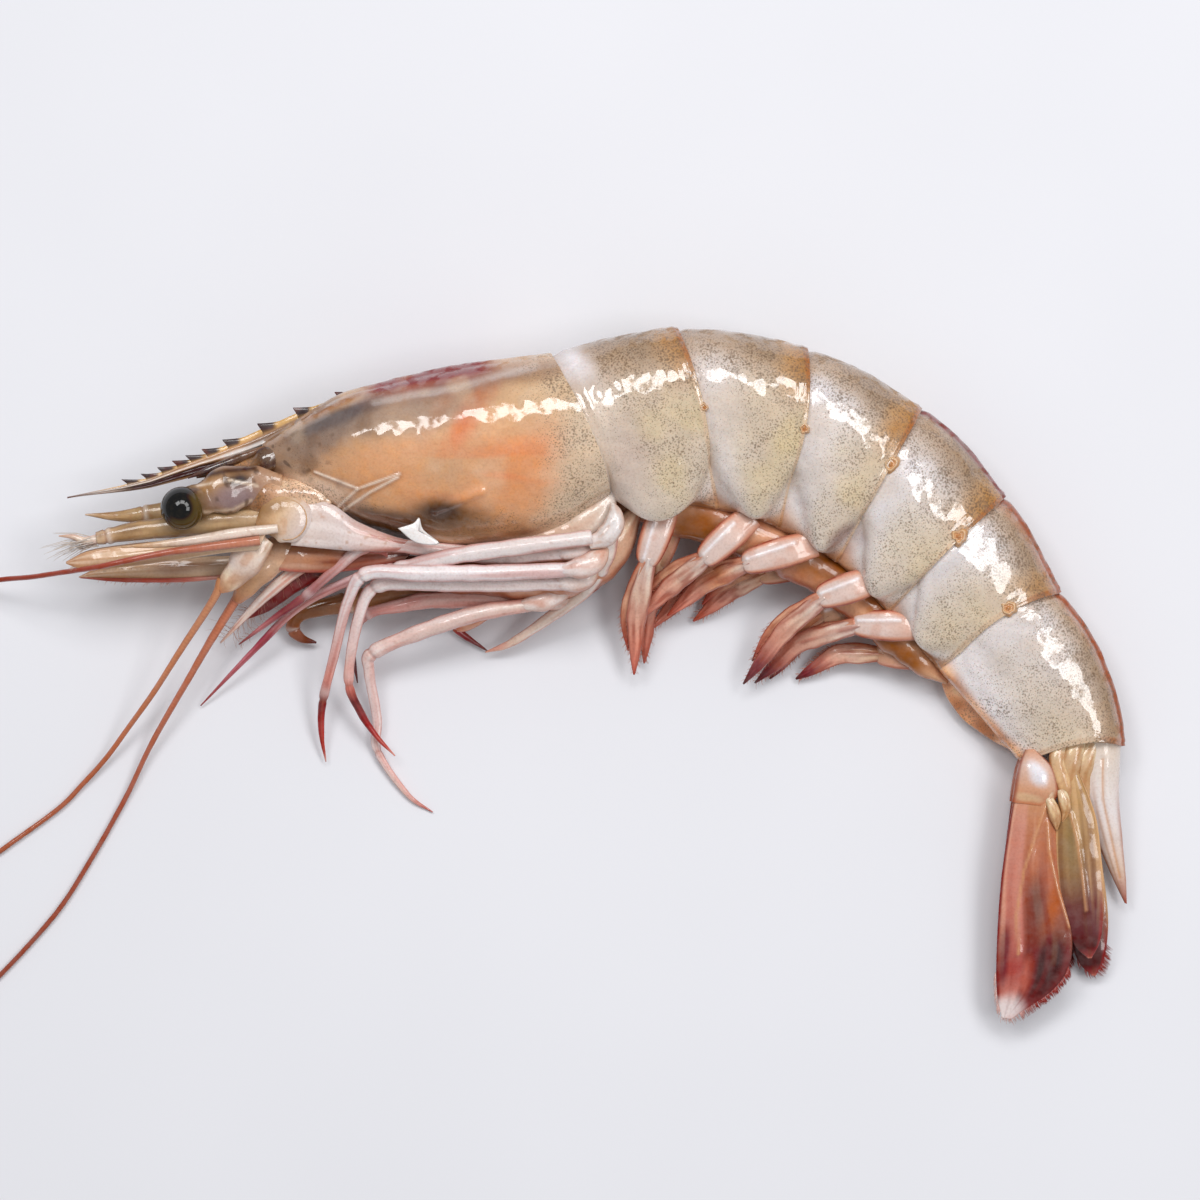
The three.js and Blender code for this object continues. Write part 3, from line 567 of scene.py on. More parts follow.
SHELL = wet_material("wet_shell", dots=True)
LIMB = wet_material("wet_limb", scatter=0.12, radius=(0.6, 0.35, 0.25), ripple_mm=0.05, fine_mm=0.006,
                    gloss=1.5)
WHIP = wet_material("horny_whip", scatter=0.0, ripple_mm=0.02, fine_mm=0.004, gloss=1.5)
FAN = wet_material("fan_blade", scatter=0.05, radius=(0.5, 0.3, 0.2), ripple_mm=0.06, fine_mm=0.01,
                   rough=(0.26, 0.44), gloss=1.5)
HAIR = wet_material("fine_hair", scatter=0.0, ripple_mm=0.01, fine_mm=0.002, coat=0.4, gloss=1.5)
EYE = eye_material()

# ---------------------------------------------------------------- body


def body_grid(cuts, t, angle, s=None, plate=(0.0, 0.0, 1.0, 0.0), grow=0.0):
    """Sheet points of the body at t along the cuts and angle around it, each point's share from the back
    to the belly, and its distance out from the middle plane. s runs along one plate, from 0 to 1."""
    back, flank, belly = (through([cut[row] for cut in cuts], t) for row in range(3))
    size = through([cut[3:] for cut in cuts], t)
    down = unit(belly - back)
    share = (1 - np.cos(angle)) / 2
    near = np.sin(angle) >= 0
    side = np.abs(np.sin(angle)) ** SIDE_POWER
    plan = (back * ((1 - share) * (1 - 2 * share))[..., None] + flank * (4 * share * (1 - share))[..., None]
            + belly * (share * (2 * share - 1))[..., None])
    drop = 0 * t
    if s is not None:
        near_drop, far_drop, lean, arch = plate
        along = np.clip(s, 0, 1)
        swell = np.sin(np.pi * along ** lean) ** 0.7
        beside = smooth(0.3, 0.7, side)
        flap = np.where(near, near_drop * swell, size[..., 2] + far_drop * swell)
        hung = smooth(0.45, 0.9, share) * (size[..., 2] * (1 - beside) + flap * beside)
        drop = hung - arch * np.sin(np.pi * along) * (1 - smooth(0.0, 0.4, share))
    plan = plan + down * (drop - grow * (1 - share))[..., None]
    reach = (size[..., 0] + grow) * side * (1 - BELLY_NARROWING * share ** 2)
    height = size[..., 1] + np.where(near, reach, -reach)
    points = np.concatenate([plan, np.maximum(height, BODY_LOWEST)[..., None]], -1)
    return points, share, side


SPINE_LINES = [[(39.6, 90.9), (45.0, 88.8), (50.2, 90.6)], [(45.0, 88.8), (42.6, 86.8), (41.3, 85.4)],
               [(50.0, 90.2), (46.4, 88.3), (42.2, 85.6)]]
SIDE_FOLD = [(54.6, 86.3), (57.4, 87.2), (60.2, 88.4)]
BACK_LINES = [[(47.0, 99.6), (51.6, 100.5), (56.8, 101.2), (62.3, 102.9), (66.9, 104.1)]]


def carapace_relief(points, share):
    """How far each point of the carapace stands off its plain form, in millimetres."""
    relief = 0.11 * noise(points, 3.4, 1) + 0.04 * noise(points, 1.4, 2)
    for line in SPINE_LINES:
        relief = relief + 0.17 * line_mark(points, line, 0.26)
    for line in BACK_LINES:
        relief = relief - 0.16 * line_mark(points, line, 0.5)
    relief = relief + 0.4 * line_mark(points, SIDE_FOLD, 0.6)
    relief = relief + 0.4 * patch(points, (44.0, 94.8), 2.2, 1.2, 25, 1.0)
    relief = relief + 0.35 * smooth(0.02, 0.0, share) * smooth(69.0, 60.0, points[..., 0])
    relief = relief + 0.12 * smooth(0.965, 1.0, share)
    return relief * smooth(0.0, 0.8, points[..., 2])


def carapace_tint(points, share):
    """Tan and orange over the liver, slate along the front of the back, brown gut below, pale hind rim."""
    across = points[..., 0]
    up = points[..., 1]
    rays = smooth(0.0, 0.6, grain(across * 0.14, up * 0.9, 71))
    streaks = 0.6 + 0.4 * smooth(-0.3, 0.4, grain(across * 0.9, up * 0.2, 74))
    ridge = smooth(44.5, 48.0, across) * smooth(63.0, 59.0, across)
    tint = ramp(across, {33: "9e7c64", 37: "b29074", 43: "c6a07e", 52: "d6ac84", 64: "dcb28a", 70: "d6b89a",
                         76: PALE_SHELL})
    tint = layers(tint, points, [
        ("9c8678", 0.8, (53.0, 99.2), 8.0, 2.4, 20, 0.8),
        ("ceb096", 0.35, (53.5, 96.6), 5.0, 2.4, 30, 0.7),
        ("e49664", 0.9, (65.0, 91.6), 6.8, 5.6, 0, 1.0),
        ("e49a68", 0.8, (59.6, 88.2), 8.5, 4.2, -8, 0.9),
        ("dc9c6c", 0.85, (49.0, 89.8), 7.0, 3.6, -12, 0.8),
        ("e2a67a", 0.7, (51.0, 93.4), 6.0, 2.0, 14, 0.7),
        ("c4a080", 0.5, (56.5, 91.0), 3.6, 2.4, 20, 0.9),
        ("e87c48", 0.5 * rays, (63.5, 90.8), 8.5, 4.6, 0, 1.0),
        ("e07a4a", 0.95 * streaks, (59.2, 98.4), 4.8, 1.3, 57, 0.8, 0.2),
        ("ce9676", 0.6, (55.4, 98.6), 4.0, 1.0, 56, 0.9, 0.3),
        ("4a4a52", 0.92, (43.8, 98.2), 7.6, 1.1, 24, 0.6),
        ("786862", 0.7, (41.5, 95.6), 5.5, 1.9, 25, 0.7),
        ("967662", 0.7, (66.0, 103.2), 5.0, 1.2, 8, 0.6),
        ("603c26", 0.9, (45.8, 85.4), 4.6, 1.7, -16, 0.7, 0.5),
        ("422e22", 0.95, (55.8, 85.4), 5.4, 2.0, 4, 0.7, 0.6),
        ("684630", 0.8, (51.0, 84.4), 5.0, 1.2, 0, 0.7, 0.5),
        ("78543a", 0.6, (60.5, 84.2), 5.5, 1.4, 4, 0.9, 0.5),
        ("d6bea4", 0.85 * smooth(67.6, 72.0, across - 0.12 * (up - 92.0))),
        ("c4a076", 0.5, (67.5, 99.0), 5.5, 3.0, 5, 0.8),
        ("ba6e64", 0.5, (54.0, 101.9), 5.5, 0.7, 16, 0.9),
        ("8a665c", 0.85, (57.0, 101.9), 8.5, 1.5, 13, 0.9),
        ("96745e", 0.65, (55.6, 98.2), 5.0, 1.6, 20, 0.9),
        ("963c2e", 0.6 * ridge * smooth(0.13, 0.06, share)),
        ("840808", 0.98 * ridge * smooth(0.075, 0.045, share)),
        ("965c2c", 0.8 * line_mark(points, [(37.0, 97.0), (41.0, 98.8), (45.0, 100.6)], 0.5)),
        ("f0ccb2", 0.9, (39.4, 88.4), 5.0, 1.8, -10, 0.6),
    ])
    for line in SPINE_LINES:
        tint = paint(tint, "a6683e", 0.7 * line_mark(points, line, 0.42))
        tint = paint(tint, "f2dcc8", 0.95 * line_mark(points, line, 0.17))
    for line in BACK_LINES:
        tint = paint(tint, "e2d6ce", 0.4 * line_mark(points, line, 0.5))
    tint = layers(tint, points, [
        ("6e4c34", 0.45 * smooth(0.2, 0.7, noise(points, 2.0, 41)) * smooth(54, 42, across)),
        ("4a3224", 0.6 * smooth(0.45, 0.8, noise(points, 0.8, 45)) * smooth(46, 36, across)),
        ("e4c8aa", 0.3 * smooth(0.2, 0.75, noise(points, 2.8, 43))),
        ("dec8b8", 0.8 * smooth(0.965, 0.995, share) * smooth(52, 62, across)),
    ])
    return tint * (1 + 0.06 * noise(points, 4.0, 3)[..., None])


def carapace():
    t, angle = grid_of(260, 300)
    points, share, _ = body_grid(CARAPACE_CUTS, t, angle)
    points = points + grid_normals(points) * carapace_relief(points, share)[..., None]
    tint = carapace_tint(points, share)
    across = points[..., 0]
    rear = smooth(65.0, 71.0, across + 0.35 * np.maximum(points[..., 1] - 96.0, 0.0))
    pepper = 0.25 + 0.75 * rear + 0.35 * smooth(46, 38, across)
    pepper = pepper + 0.9 * patch(points, (38.8, 88.0), 4.6, 1.4, -8)
    pepper = pepper + 0.9 * patch(points, (45.8, 85.4), 5.0, 2.0, -16)
    pepper = pepper + 0.6 * patch(points, (60.0, 84.6), 9.0, 1.8, 6)
    pepper = pepper * (1 - 0.6 * patch(points, (57, 91), 10, 6, 0, 0.4))
    values = {"pepper": np.clip(pepper, 0, 1.1).ravel()}
    grid_piece("carapace_shell", ["carapace"], points, tint, SHELL, values)


def tail_tint(number, points, s, share, side, near):
    """The six plates: grey and peppered above, milky at the front of each, warm bands at the hind edges,
    and a brown belly hanging between the flaps."""
    cloud = smooth(-0.5, 0.4, noise(points, 3.0, 53))
    milky = PLATE_MILKY[number] * smooth(PLATE_MILKY_REACH[number], 0.15, s)
    yellow = PLATE_YELLOW[number]
    band = PLATE_BAND[number]
    ragged = 0.04 * noise(points, 2.0, 31)
    rim = smooth(0.965, 0.985, s)
    seam = near * smooth(0.35, 0.55, side)
    tint = ramp(share, {0.0: "a88c74", 0.12: "baa088", 0.35: "ccb6a0", 0.6: "d2bea8", 1.0: "d8c8b8"})
    tint = layers(tint, points, [
        ("e2dbdc", milky * smooth(0.05, 0.25, share) * (0.55 + 0.45 * cloud)),
        ("d6c094", yellow * bump_at(share, 0.66, 0.24) * cloud * smooth(0.1, 0.5, s)),
        ("8e745a", 0.6 * smooth(0.28, 0.06, share) * smooth(0.15, 0.7, s)),
        ("be905e", 0.9 * band * smooth(0.66, 0.9, s + ragged) * smooth(0.5, 0.2, share)),
        ("a4703c", 0.55 * band * smooth(0.8, 0.95, s + ragged) * smooth(0.4, 0.15, share)),
        ("8c6868", 0.7, (105.6, 82.4), 2.4, 1.6, 30),
        ("6e4c32", 0.7 * patch(points, (113.9, 76.3), 0.7, 0.6, 0) * (number == 3)),
        ("ece6ea", 0.85 * patch(points, (71.6, 104.4), 3.0, 1.7, -55, 0.9) * (number == 0)),
        ("bea89e", 0.6 * patch(points, (78.5, 92.5), 3.0, 4.0, 0, 0.8) * (number == 0)),
        ("e8deda", 0.75 * smooth(0.88, 0.97, share) * seam),
        ("ce8c78", 0.6 * smooth(0.975, 0.995, share) * seam),
        # painted highlight: a large near-white patch low on the last plate, standing in for its wet gloss
        ("f2eaea", 0.9 * patch(points, (122.6, 63.4), 6.5, 2.6, -52, 0.8) * (number == 5)),
        ("a6643c", 0.7 * rim * smooth(0.45, 0.1, share)),
        ("debea0", 0.7 * rim * smooth(0.25, 0.5, share)),
        ("802014", 0.95 * smooth(0.03, 0.008, share) * (number >= 3)),
        ("ba7450", 0.5 * smooth(0.08, 0.02, share) * (number >= 4)),
    ])
    soft = smooth(0.7, 0.9, share) * (1 - smooth(0.35, 0.6, side) * near)
    # painted light: the belly of the last plate is painted 1.8 times brighter, to lift it out of the shade
    # it lies in
    light = 1.8 if number == 5 else 1.0
    belly = light * ramp(noise(points, 1.6, 61), {-0.6: "965c34", 0.2: "b67a4e", 0.8: "ce9c72"})
    tint = tint * (1 - 0.9 * soft[..., None]) + belly * 0.9 * soft[..., None]
    return tint * (1 + 0.06 * noise(points, 2.6, 5)[..., None])


def tail_relief(number, points, s, share):
    """How far each point of a tail plate stands off its plain form, in millimetres."""
    relief = 0.12 * noise(points, 3.0, 11 + number) + 0.045 * noise(points, 1.3, 21)
    relief = relief + 0.08 * bump_at(s, 0.98, 0.014)
    relief = relief - 0.06 * bump_at(s, 0.92, 0.025) * smooth(0.75, 0.6, share)
    relief = relief + PLATE_KEEL[number] * smooth(0.015, 0.0, share)
    return relief * smooth(0.0, 0.8, points[..., 2])


def tail_plate(number):
    t, angle = grid_of(120, 300)
    s = -0.05 + 1.07 * t
    grow = REAR_FLARE * smooth(FLARE_START, 1, s) - TUCK_DEPTH * smooth(TUCK_LENGTH, 0, s)
    place = (number + s) / (len(TAIL_CUTS) - 1)
    points, share, side = body_grid(TAIL_CUTS, place, angle, s, PLATES[number], grow)
    points = points + grid_normals(points) * tail_relief(number, points, s, share)[..., None]
    near = np.sin(angle) >= 0
    tint = tail_tint(number, points, s, share, side, near)
    pepper = 0.5 + 0.6 * smooth(0.5, 0.12, share) + 0.4 * smooth(0.15, 0.5, s)
    pepper = pepper * (1 - 0.9 * patch(points, (71.8, 104.6), 3.6, 2.4, -55, 0.4) * (number == 0))
    values = {"pepper": np.clip(pepper, 0, 1.15).ravel()}
    grid_piece(f"tail_skin_{number + 1}", [f"tail_plate_{number + 1}"], points, tint, SHELL, values)


# Each hinge knob: its place, its height and its radius.
KNOBS = [(87.8, 98.8, 15.75, 0.65), (100.3, 96.2, 15.15, 0.75), (111.0, 91.8, 14.05, 1.05),
         (119.6, 82.9, 12.45, 1.1), (125.9, 74.0, 10.6, 1.1)]


def knobs():
    """Amber hinges, each a small ring with a dent in it, where the plates meet on the near flank."""
    parts = Parts()
    for number, (across, up, height, radius) in enumerate(KNOBS):
        t, angle = grid_of(30, 40)
        ragged = noise(np.stack([np.cos(angle), np.sin(angle), 0 * t + number], -1), 0.6, number)
        reach = radius * (1 + 0.4 * ragged)
        dome = 0.34 * np.cos(np.pi * t / 2) - 0.3 * bump_at(t, 0.3, 0.18) + 0.22 * bump_at(t, 0.6, 0.12)
        reach = 0.02 + reach * t
        points = np.stack([across + reach * np.cos(angle), up + reach * np.sin(angle),
                           height - 0.5 * t ** 2 + dome], -1)
        tint = ramp(t, {0: "b47846", 0.35: "ce9c70", 0.6: "e2ba92", 0.8: "c48c5c", 1: "ceb092"})
        parts.grid(points, tint)
    parts.build("hinge_knobs", SHELL, [], {"pepper": 0.0})


def belly_tissue():
    """Soft brown flesh along the belly, seen between the flaps and the roots of the swimming limbs."""
    route = [(76.8, 86.6, 7.0), (84.0, 86.2, 6.6), (90.3, 84.6, 6.5), (97.5, 81.6, 6.2), (104.0, 77.6, 5.8),
             (110.4, 72.2, 5.2), (115.4, 67.2, 4.4), (118.8, 64.6, 3.4)]
    points, t, angle = limb_grid(route, [0.6, 2.9, 3.2, 3.1, 2.9, 2.6, 1.6, 0.3],
                                 [0.6, 2.2, 2.6, 2.5, 2.3, 1.9, 1.2, 0.3], 200, 52, lump=0.14)
    tint = limb_tint(points, t, angle, {0: "ce9c78", 0.5: "c88a68", 1: "ce9c7a"}, "b05e44", seed=61,
                     streaks=0.35)
    for centre, long, short, turn in (((87.2, 84.4), 2.8, 2.2, 40), ((103.6, 79.0), 3.8, 1.5, -12),
                                      ((110.4, 73.8), 2.8, 1.3, -25), ((112.8, 68.4), 4.0, 1.6, -38)):
        tint = paint(tint, "925626", 0.95 * patch(points, centre, long, short, turn, 0.6))
    grid_piece("belly_tissue", [], points, tint, LIMB)


def torn_bit():
    """The torn white scrap of shell on the lower edge of the carapace."""
    corners = [(49.9, 83.9), (51.8, 84.5), (52.6, 85.2), (53.1, 83.7), (55.1, 82.0), (52.2, 82.1)]
    middle = np.mean(corners, axis=0)
    ring = through(corners + corners[:1], np.linspace(0, 1, 24, endpoint=False))
    rings = []
    for reach, lift in ((0.05, 0.0), (0.9, 0.0), (1.0, 0.08), (0.9, 0.16), (0.05, 0.22)):
        plan = middle + (ring - middle) * reach
        waves = 0.5 * noise(np.column_stack([plan, plan[:, 0]]), 1.6, 3)
        rings.append(np.column_stack([plan, 14.1 + lift + waves]))
    points = np.stack(rings)
    grid_piece("torn_scrap", [], points, plain(points, "eee8e6"), LIMB)


# ---------------------------------------------------------------- beak


def rostrum_line(line, across):
    """How far up the line of sheet points lies at across."""
    return np.interp(across, [point[0] for point in line], [point[1] for point in line])


def rostrum():
    """The toothed beak: a blade with a pale rib along its middle, dark below it, and on top of it a saw of
    low forward teeth banded dark and amber."""
    across = np.linspace(8.35, 44.5, 620)
    saw = np.zeros_like(across)
    band = np.zeros_like(across)
    for tooth in TEETH_AT:
        behind = across - tooth
        rise = np.where(behind < 0, smooth(-0.12, 0.0, behind),
                        np.clip(1 - behind / TOOTH_LENGTH, 0, 1) ** 1.3)
        saw = np.maximum(saw, rise)
        band = np.maximum(band, smooth(-0.3, -0.05, behind) * smooth(1.7, 1.0, behind))
    top = rostrum_line(ROSTRUM_TOP, across)
    low = rostrum_line(ROSTRUM_LOWER, across) - 0.45 * smooth(9, 18, across) * smooth(38, 32, across)
    half = 0.95 * (0.3 + 0.7 * smooth(8.3, 32, across))
    angle = np.linspace(0, 2 * np.pi, 64, endpoint=False)
    rise = ((np.cos(angle) + 1) / 2)[None, :]
    out = np.sin(angle)[None, :]
    tip = smooth(0.8, 1.0, rise)
    up = low[:, None] + (top - low)[:, None] * rise + 0.7 * TOOTH_HEIGHT * saw[:, None] * tip
    forward = across[:, None] - 0.9 * (saw ** 2)[:, None] * tip
    profile = 0.34 + 0.7 * bump_at(rise, 0.58, 0.09) + 0.62 * smooth(0.5, 0.15, rise)
    body = np.abs(out) ** 0.6 * np.sign(out) * profile
    points = np.stack([forward, up, CARAPACE_CUTS[0][4] + half[:, None] * body], -1)
    length = across[:, None] * np.ones_like(up)
    level = rise * np.ones_like(up)
    crest = smooth(0.8, 0.88, level) * smooth(11, 15, length)
    stripe = smooth(0.02, 0.14, level) * smooth(0.56, 0.46, level)
    tint = ramp(length, {8: "785246", 12: "b8a8a0", 17: "bea896", 24: "ce9c6e", 30: "d6a06e", 36: "a0806a",
                         44: "846c62"})
    tint = layers(tint, points, [
        ("3a1e12", 0.96 * stripe * smooth(13, 17, length) * smooth(28.5, 26.5, length)),
        ("60402e", 0.8 * bump_at(level, 0.1, 0.09) * smooth(9, 12, length) * smooth(22, 17, length)),
        ("34221a", 0.95, (33.2, 94.6), 3.2, 0.9, 22, 0.6),
        # painted highlight: a small near-white patch between the saw and the rib
        ("ece4e0", 0.8, (29.2, 93.2), 1.4, 0.4, 22, 0.6),
        ("eee4de", 0.9 * bump_at(level, 0.62, 0.06) * smooth(9, 13, length)),
        ("70482e", 0.7 * bump_at(level, 0.75, 0.05) * smooth(12, 16, length)),
        ("d4a868", 0.9 * crest),
        ("321810", 0.97 * crest * band[:, None]),
        ("6e4222", 0.5 * crest * smooth(0.1, 0.7, noise(points, 1.2, 5))),
    ])
    grid_piece("rostrum_blade", [], points, tint, LIMB)


def flat_leaf(parts, left, right, heights, thick, tint_of, ribs=(), rings=150, around=56, ripple=0.07,
              seed=1):
    """A flat blade between two edges drawn on the sheet, with raised ribs."""
    t, angle = grid_of(rings, around)
    left_line = through(left, t)
    right_line = through(right, t)
    place = (np.cos(angle) + 1) / 2
    plan = left_line + (right_line - left_line) * place[..., None]
    body = through(thick, t)[..., 0] * np.sin(angle)
    for line, lift in ribs:
        body = body + lift * line_mark(plan, line, 0.34) * np.sign(np.sin(angle))
    height = through(heights, t)[..., 0] + body
    height = height + ripple * noise(np.dstack([plan, height]), 2.2, seed)
    points = np.concatenate([plan, np.maximum(height, LOWEST)[..., None]], -1)
    parts.grid(points, tint_of(points, t, place))


def scale_tint(points, t, place):
    tint = ramp(t, {0: "dec0a4", 0.3: "d4b08e", 0.6: "c8a07c", 1: "b48262"})
    streak = grain(place * 9, t * 2.0, 46)
    return layers(tint, points, [
        ("966e4c", 0.5 * smooth(0.0, 0.6, streak)),
        ("e8ceb4", 0.5 * smooth(0.1, 0.6, -streak)),
        ("8c685c", 0.6, (22.0, 79.0), 4.4, 0.9, 4, 0.6),
        ("543222", 0.85 * smooth(0.1, 0.02, place) * smooth(0.15, 0.35, t)),
    ])


def mouth_tint(points, t, place):
    tint = ramp(t, {0: "c49678", 0.4: "b07a5c", 0.7: "a2624e", 1: "b47464"})
    streak = grain(place * 6, t * 3.0, 52)
    return layers(tint, points, [
        ("783e30", 0.7 * smooth(0.0, 0.5, streak)),
        ("e4beac", 0.5 * smooth(0.15, 0.6, -streak)),
        ("be5448", 0.7 * smooth(0.16, 0.04, np.minimum(place, 1 - place))),
    ])


def cheek_tint(points, t, place):
    tint = ramp(t, {0: "d6c0b4", 0.35: "d6c4c0", 0.6: "d6b0a6", 0.8: "c48c82", 1: "aa6458"})
    streak = grain(place * 7, t * 2.0, 48)
    return layers(tint, points, [
        ("b06c60", 0.7 * smooth(0.0, 0.5, streak) * smooth(0.3, 0.6, t)),
        ("f2e6e2", 0.5 * smooth(0.1, 0.5, -streak)),
        ("ba8c70", 0.6 * smooth(0.45, 0.75, noise(points, 0.5, 49))),
    ])


# ---------------------------------------------------------------- limbs


def limb_grid(route, across, thick, rings, around, joints=(), rib=0.0, lump=0.0):
    """Sheet points of a limb with oval sections along its route, and each point's t and angle."""
    t, angle = grid_of(rings, around)
    line = through(route, t[:, 0])
    along = unit(np.gradient(line, axis=0))
    side = unit(np.cross(UP, along))
    over = np.cross(along, side)
    half_across = np.maximum(through(across, t)[..., 0], 0.04)
    half_thick = np.maximum(through(thick, t)[..., 0], 0.04)
    shape = 1 + 0 * t
    for joint in joints:
        shape = shape - 0.16 * bump_at(t, joint, 0.006) + 0.12 * bump_at(t, joint - 0.024, 0.02)
        shape = shape + 0.05 * bump_at(t, joint + 0.02, 0.014)
    centre = through(route, t)
    shape = shape * (1 + lump * noise(centre, 1.6, len(route)))
    half_thick = half_thick * (1 + rib * bump_at(np.cos(angle), 0.0, 0.16))
    points = (centre + side[:, None, :] * (half_across * shape * np.cos(angle))[..., None]
              + over[:, None, :] * (half_thick * shape * np.sin(angle))[..., None])
    points[..., 2] = np.maximum(points[..., 2], LOWEST)
    return points, t, angle


def limb_tint(points, t, angle, stops, edge, edge_amount=0.6, seed=1, streaks=0.3, joints=(), ridge=None):
    """Ramp along the limb with fine lighter and darker lines, a rim of the edge colour, and its joints."""
    edge = srgb(edge)
    tint = ramp(t, stops)
    lines = noise(np.stack([t * 7, np.cos(angle) * 2.6, np.sin(angle) * 2.6], -1), 1.0, seed)
    shine = np.minimum(1.7 * tint + 0.02, srgb("f8f0ee"))
    tint = tint + (shine - tint) * (streaks * smooth(0.05, 0.55, lines))[..., None]
    rim = np.minimum(edge, 1.15 * tint)
    lower = np.clip(1.2 * streaks * smooth(0.05, 0.55, -lines), 0, 1)
    tint = tint + (rim - tint) * lower[..., None]
    if ridge is not None:
        colour, amount, start = ridge
        tint = paint(tint, colour, amount * bump_at(np.cos(angle), 0.15, 0.22)
                     * smooth(start, start + 0.15, t))
    outline = np.clip(edge_amount * smooth(0.72, 0.95, np.abs(np.cos(angle))), 0, 1)
    tint = tint + (np.minimum(edge, 1.15 * tint) - tint) * outline[..., None]
    for joint in joints:
        tint = paint(tint, "a06454", 0.4 * bump_at(t, joint, 0.006))
        tint = paint(tint, "f0e6e2", 0.35 * bump_at(t, joint - 0.025, 0.016))
    spots = noise(points, 0.5, seed + 5)
    tint = paint(tint, "965a46", 0.25 * smooth(0.5, 0.8, spots))
    return tint * (1 + 0.04 * noise(points, 1.4, seed)[..., None])


def add_limb(parts, route, across, thick, stops, edge, rings=120, around=24, joints=(), rib=0.0, lump=0.05,
             **more):
    """Adds a painted limb to the parts."""
    points, t, angle = limb_grid(route, across, thick, rings, around, joints, rib, lump)
    parts.grid(points, limb_tint(points, t, angle, stops, edge, joints=joints, **more))


def limb(name, node, route, across, thick, stops, edge, **more):
    """One limb as a piece of its own."""
    parts = Parts()
    add_limb(parts, route, across, thick, stops, edge, **more)
    parts.build(name, LIMB, [node])


LEG_SIZE = [0.9, 1.05, 0.98, 0.82, 0.66, 0.54, 0.38, 0.08]
LEG_JOINTS = {
    "l1": (0.43, 0.72),
    "l2": (0.46,),
    "l3": (0.4, 0.74),
    "l4": (0.38, 0.64),
    "l5": (0.3,),
    "r1": (0.4, 0.75),
    "r2": (0.6,),
    "r3": (0.38, 0.75),
    "r4": (0.7,),
    "r5": (0.5,),
}
LEG_COLOURS = {
    "l1": {0: "deccc8", 0.43: "e4d4d0", 0.54: "cca29e", 0.7: "9c5a60", 0.8: "7c303a", 0.9: "b06e72",
           1: "6e282e"},
    "l2": {0: "e2d4d0", 0.45: "e8dede", 0.62: "deb4b4", 0.72: "e0b4b2", 0.82: "8c3242", 0.88: "b46872",
           1: "822e30"},
    "l3": {0: "e8dcdc", 0.42: "eee6e8", 0.56: "eed4d0", 0.68: "e2968a", 0.74: "701616", 0.84: "a02c26",
           0.95: "a4362e", 1: "deaaa0"},
    "l4": {0: "e6d4d0", 0.42: "ecdcda", 0.56: "e8c8c2", 0.62: "d68274", 0.7: "681416", 0.84: "962420",
           0.94: "b44c42", 1: "dea094"},
    "l5": {0: "e8d8ce", 0.4: "e6cebe", 0.8: "e6cab8", 1: "d29680"},
    "r1": {0: TAN, 0.6: BROWN, 0.8: "8c543e", 1: "562a1e"},
    "r2": {0: "dcbab0", 0.5: "d49c96", 0.75: "6e424c", 1: MAROON},
    "r3": {0: "debeb2", 0.35: "e6cac2", 0.7: "ecd0cc", 0.86: "e4b0a6", 1: "a63c32"},
    "r4": {0: "d8a084", 0.5: "dca086", 0.66: "c46a50", 0.78: "961c18", 1: "500a0c"},
    "r5": {0: "b45c44", 0.5: "821812", 1: "60080a"},
}
LEG_RIDGES = {
    "l2": ("9e4642", 0.75, 0.45),
    "l1": ("96544a", 0.6, 0.5),
    "l3": ("aa6054", 0.5, 0.5),
    "r3": ("be786e", 0.4, 0.4),
}
LEG_ROOTS = {
    "l1": [(75.6, 83.6, 10.8), (74.6, 82.0, 11.0), (73.2, 81.1, 11.2), (71.0, 80.9, 11.3),
           (68.8, 80.9, 11.2)],
    "l3": [(75.9, 82.0, 11.6), (74.8, 80.3, 12.2), (73.2, 79.2, 12.6), (71.0, 78.8, 12.6),
           (69.0, 78.7, 12.5)],
    "l4": [(74.4, 79.9, 10.2), (73.6, 78.4, 10.6), (72.2, 77.4, 10.7), (70.4, 77.2, 10.6),
           (68.6, 77.1, 10.6)],
    "r3": [(71.6, 77.6, 8.0), (70.4, 76.2, 8.2), (68.6, 75.1, 8.2), (66.6, 74.6, 8.0), (64.6, 74.2, 7.8)],
    "r2": [(72.4, 77.0, 5.8), (71.4, 75.8, 6.0), (69.6, 75.1, 6.0), (67.6, 74.9, 6.0), (65.6, 74.9, 6.0)],
}


def coxa(parts):
    """The clear white base of the last leg, lying on the hind corner of the carapace."""
    route = [(76.5, 87.0, 12.6), (76.9, 85.6, 13.0), (76.6, 84.0, 13.1), (75.4, 82.7, 13.0),
             (73.6, 82.1, 12.9)]
    add_limb(parts, route, [0.3, 1.0, 1.35, 1.35, 0.9], [0.3, 0.7, 0.9, 0.9, 0.6],
             {0: "d2c4bc", 0.4: "ded6d4", 1: "dcccc6"}, "cea088", rings=90, around=36, lump=0.16,
             streaks=0.4)


def legs():
    for number, (name, route) in enumerate(LEG_ROUTES.items()):
        parts = Parts()
        wide = {"r1": 1.5, "l5": 1.15, "l2": 1.05}.get(name, 1.0)
        add_limb(parts, route, wide * np.array(LEG_SIZE), 0.8 * np.array(LEG_SIZE), LEG_COLOURS[name],
                 "ce8074", rings=200, joints=LEG_JOINTS[name], seed=30 + number, ridge=LEG_RIDGES.get(name),
                 streaks=0.4, edge_amount=0.6, lump=0.1, rib=0.12)
        if name == "l5":
            coxa(parts)
        if name in LEG_ROOTS:
            start = LEG_COLOURS[name][0]
            add_limb(parts, LEG_ROOTS[name], [0.4, 1.2, 1.35, 1.0, 0.5], [0.4, 0.9, 1.0, 0.8, 0.4],
                     {0: "d6aa92", 0.4: "e2cac0", 1: start}, "ce8c74", rings=80, around=30, lump=0.14,
                     seed=90 + number, streaks=0.4)
        parts.build(f"leg_skin_{name}", LIMB, [f"leg_{name}"])


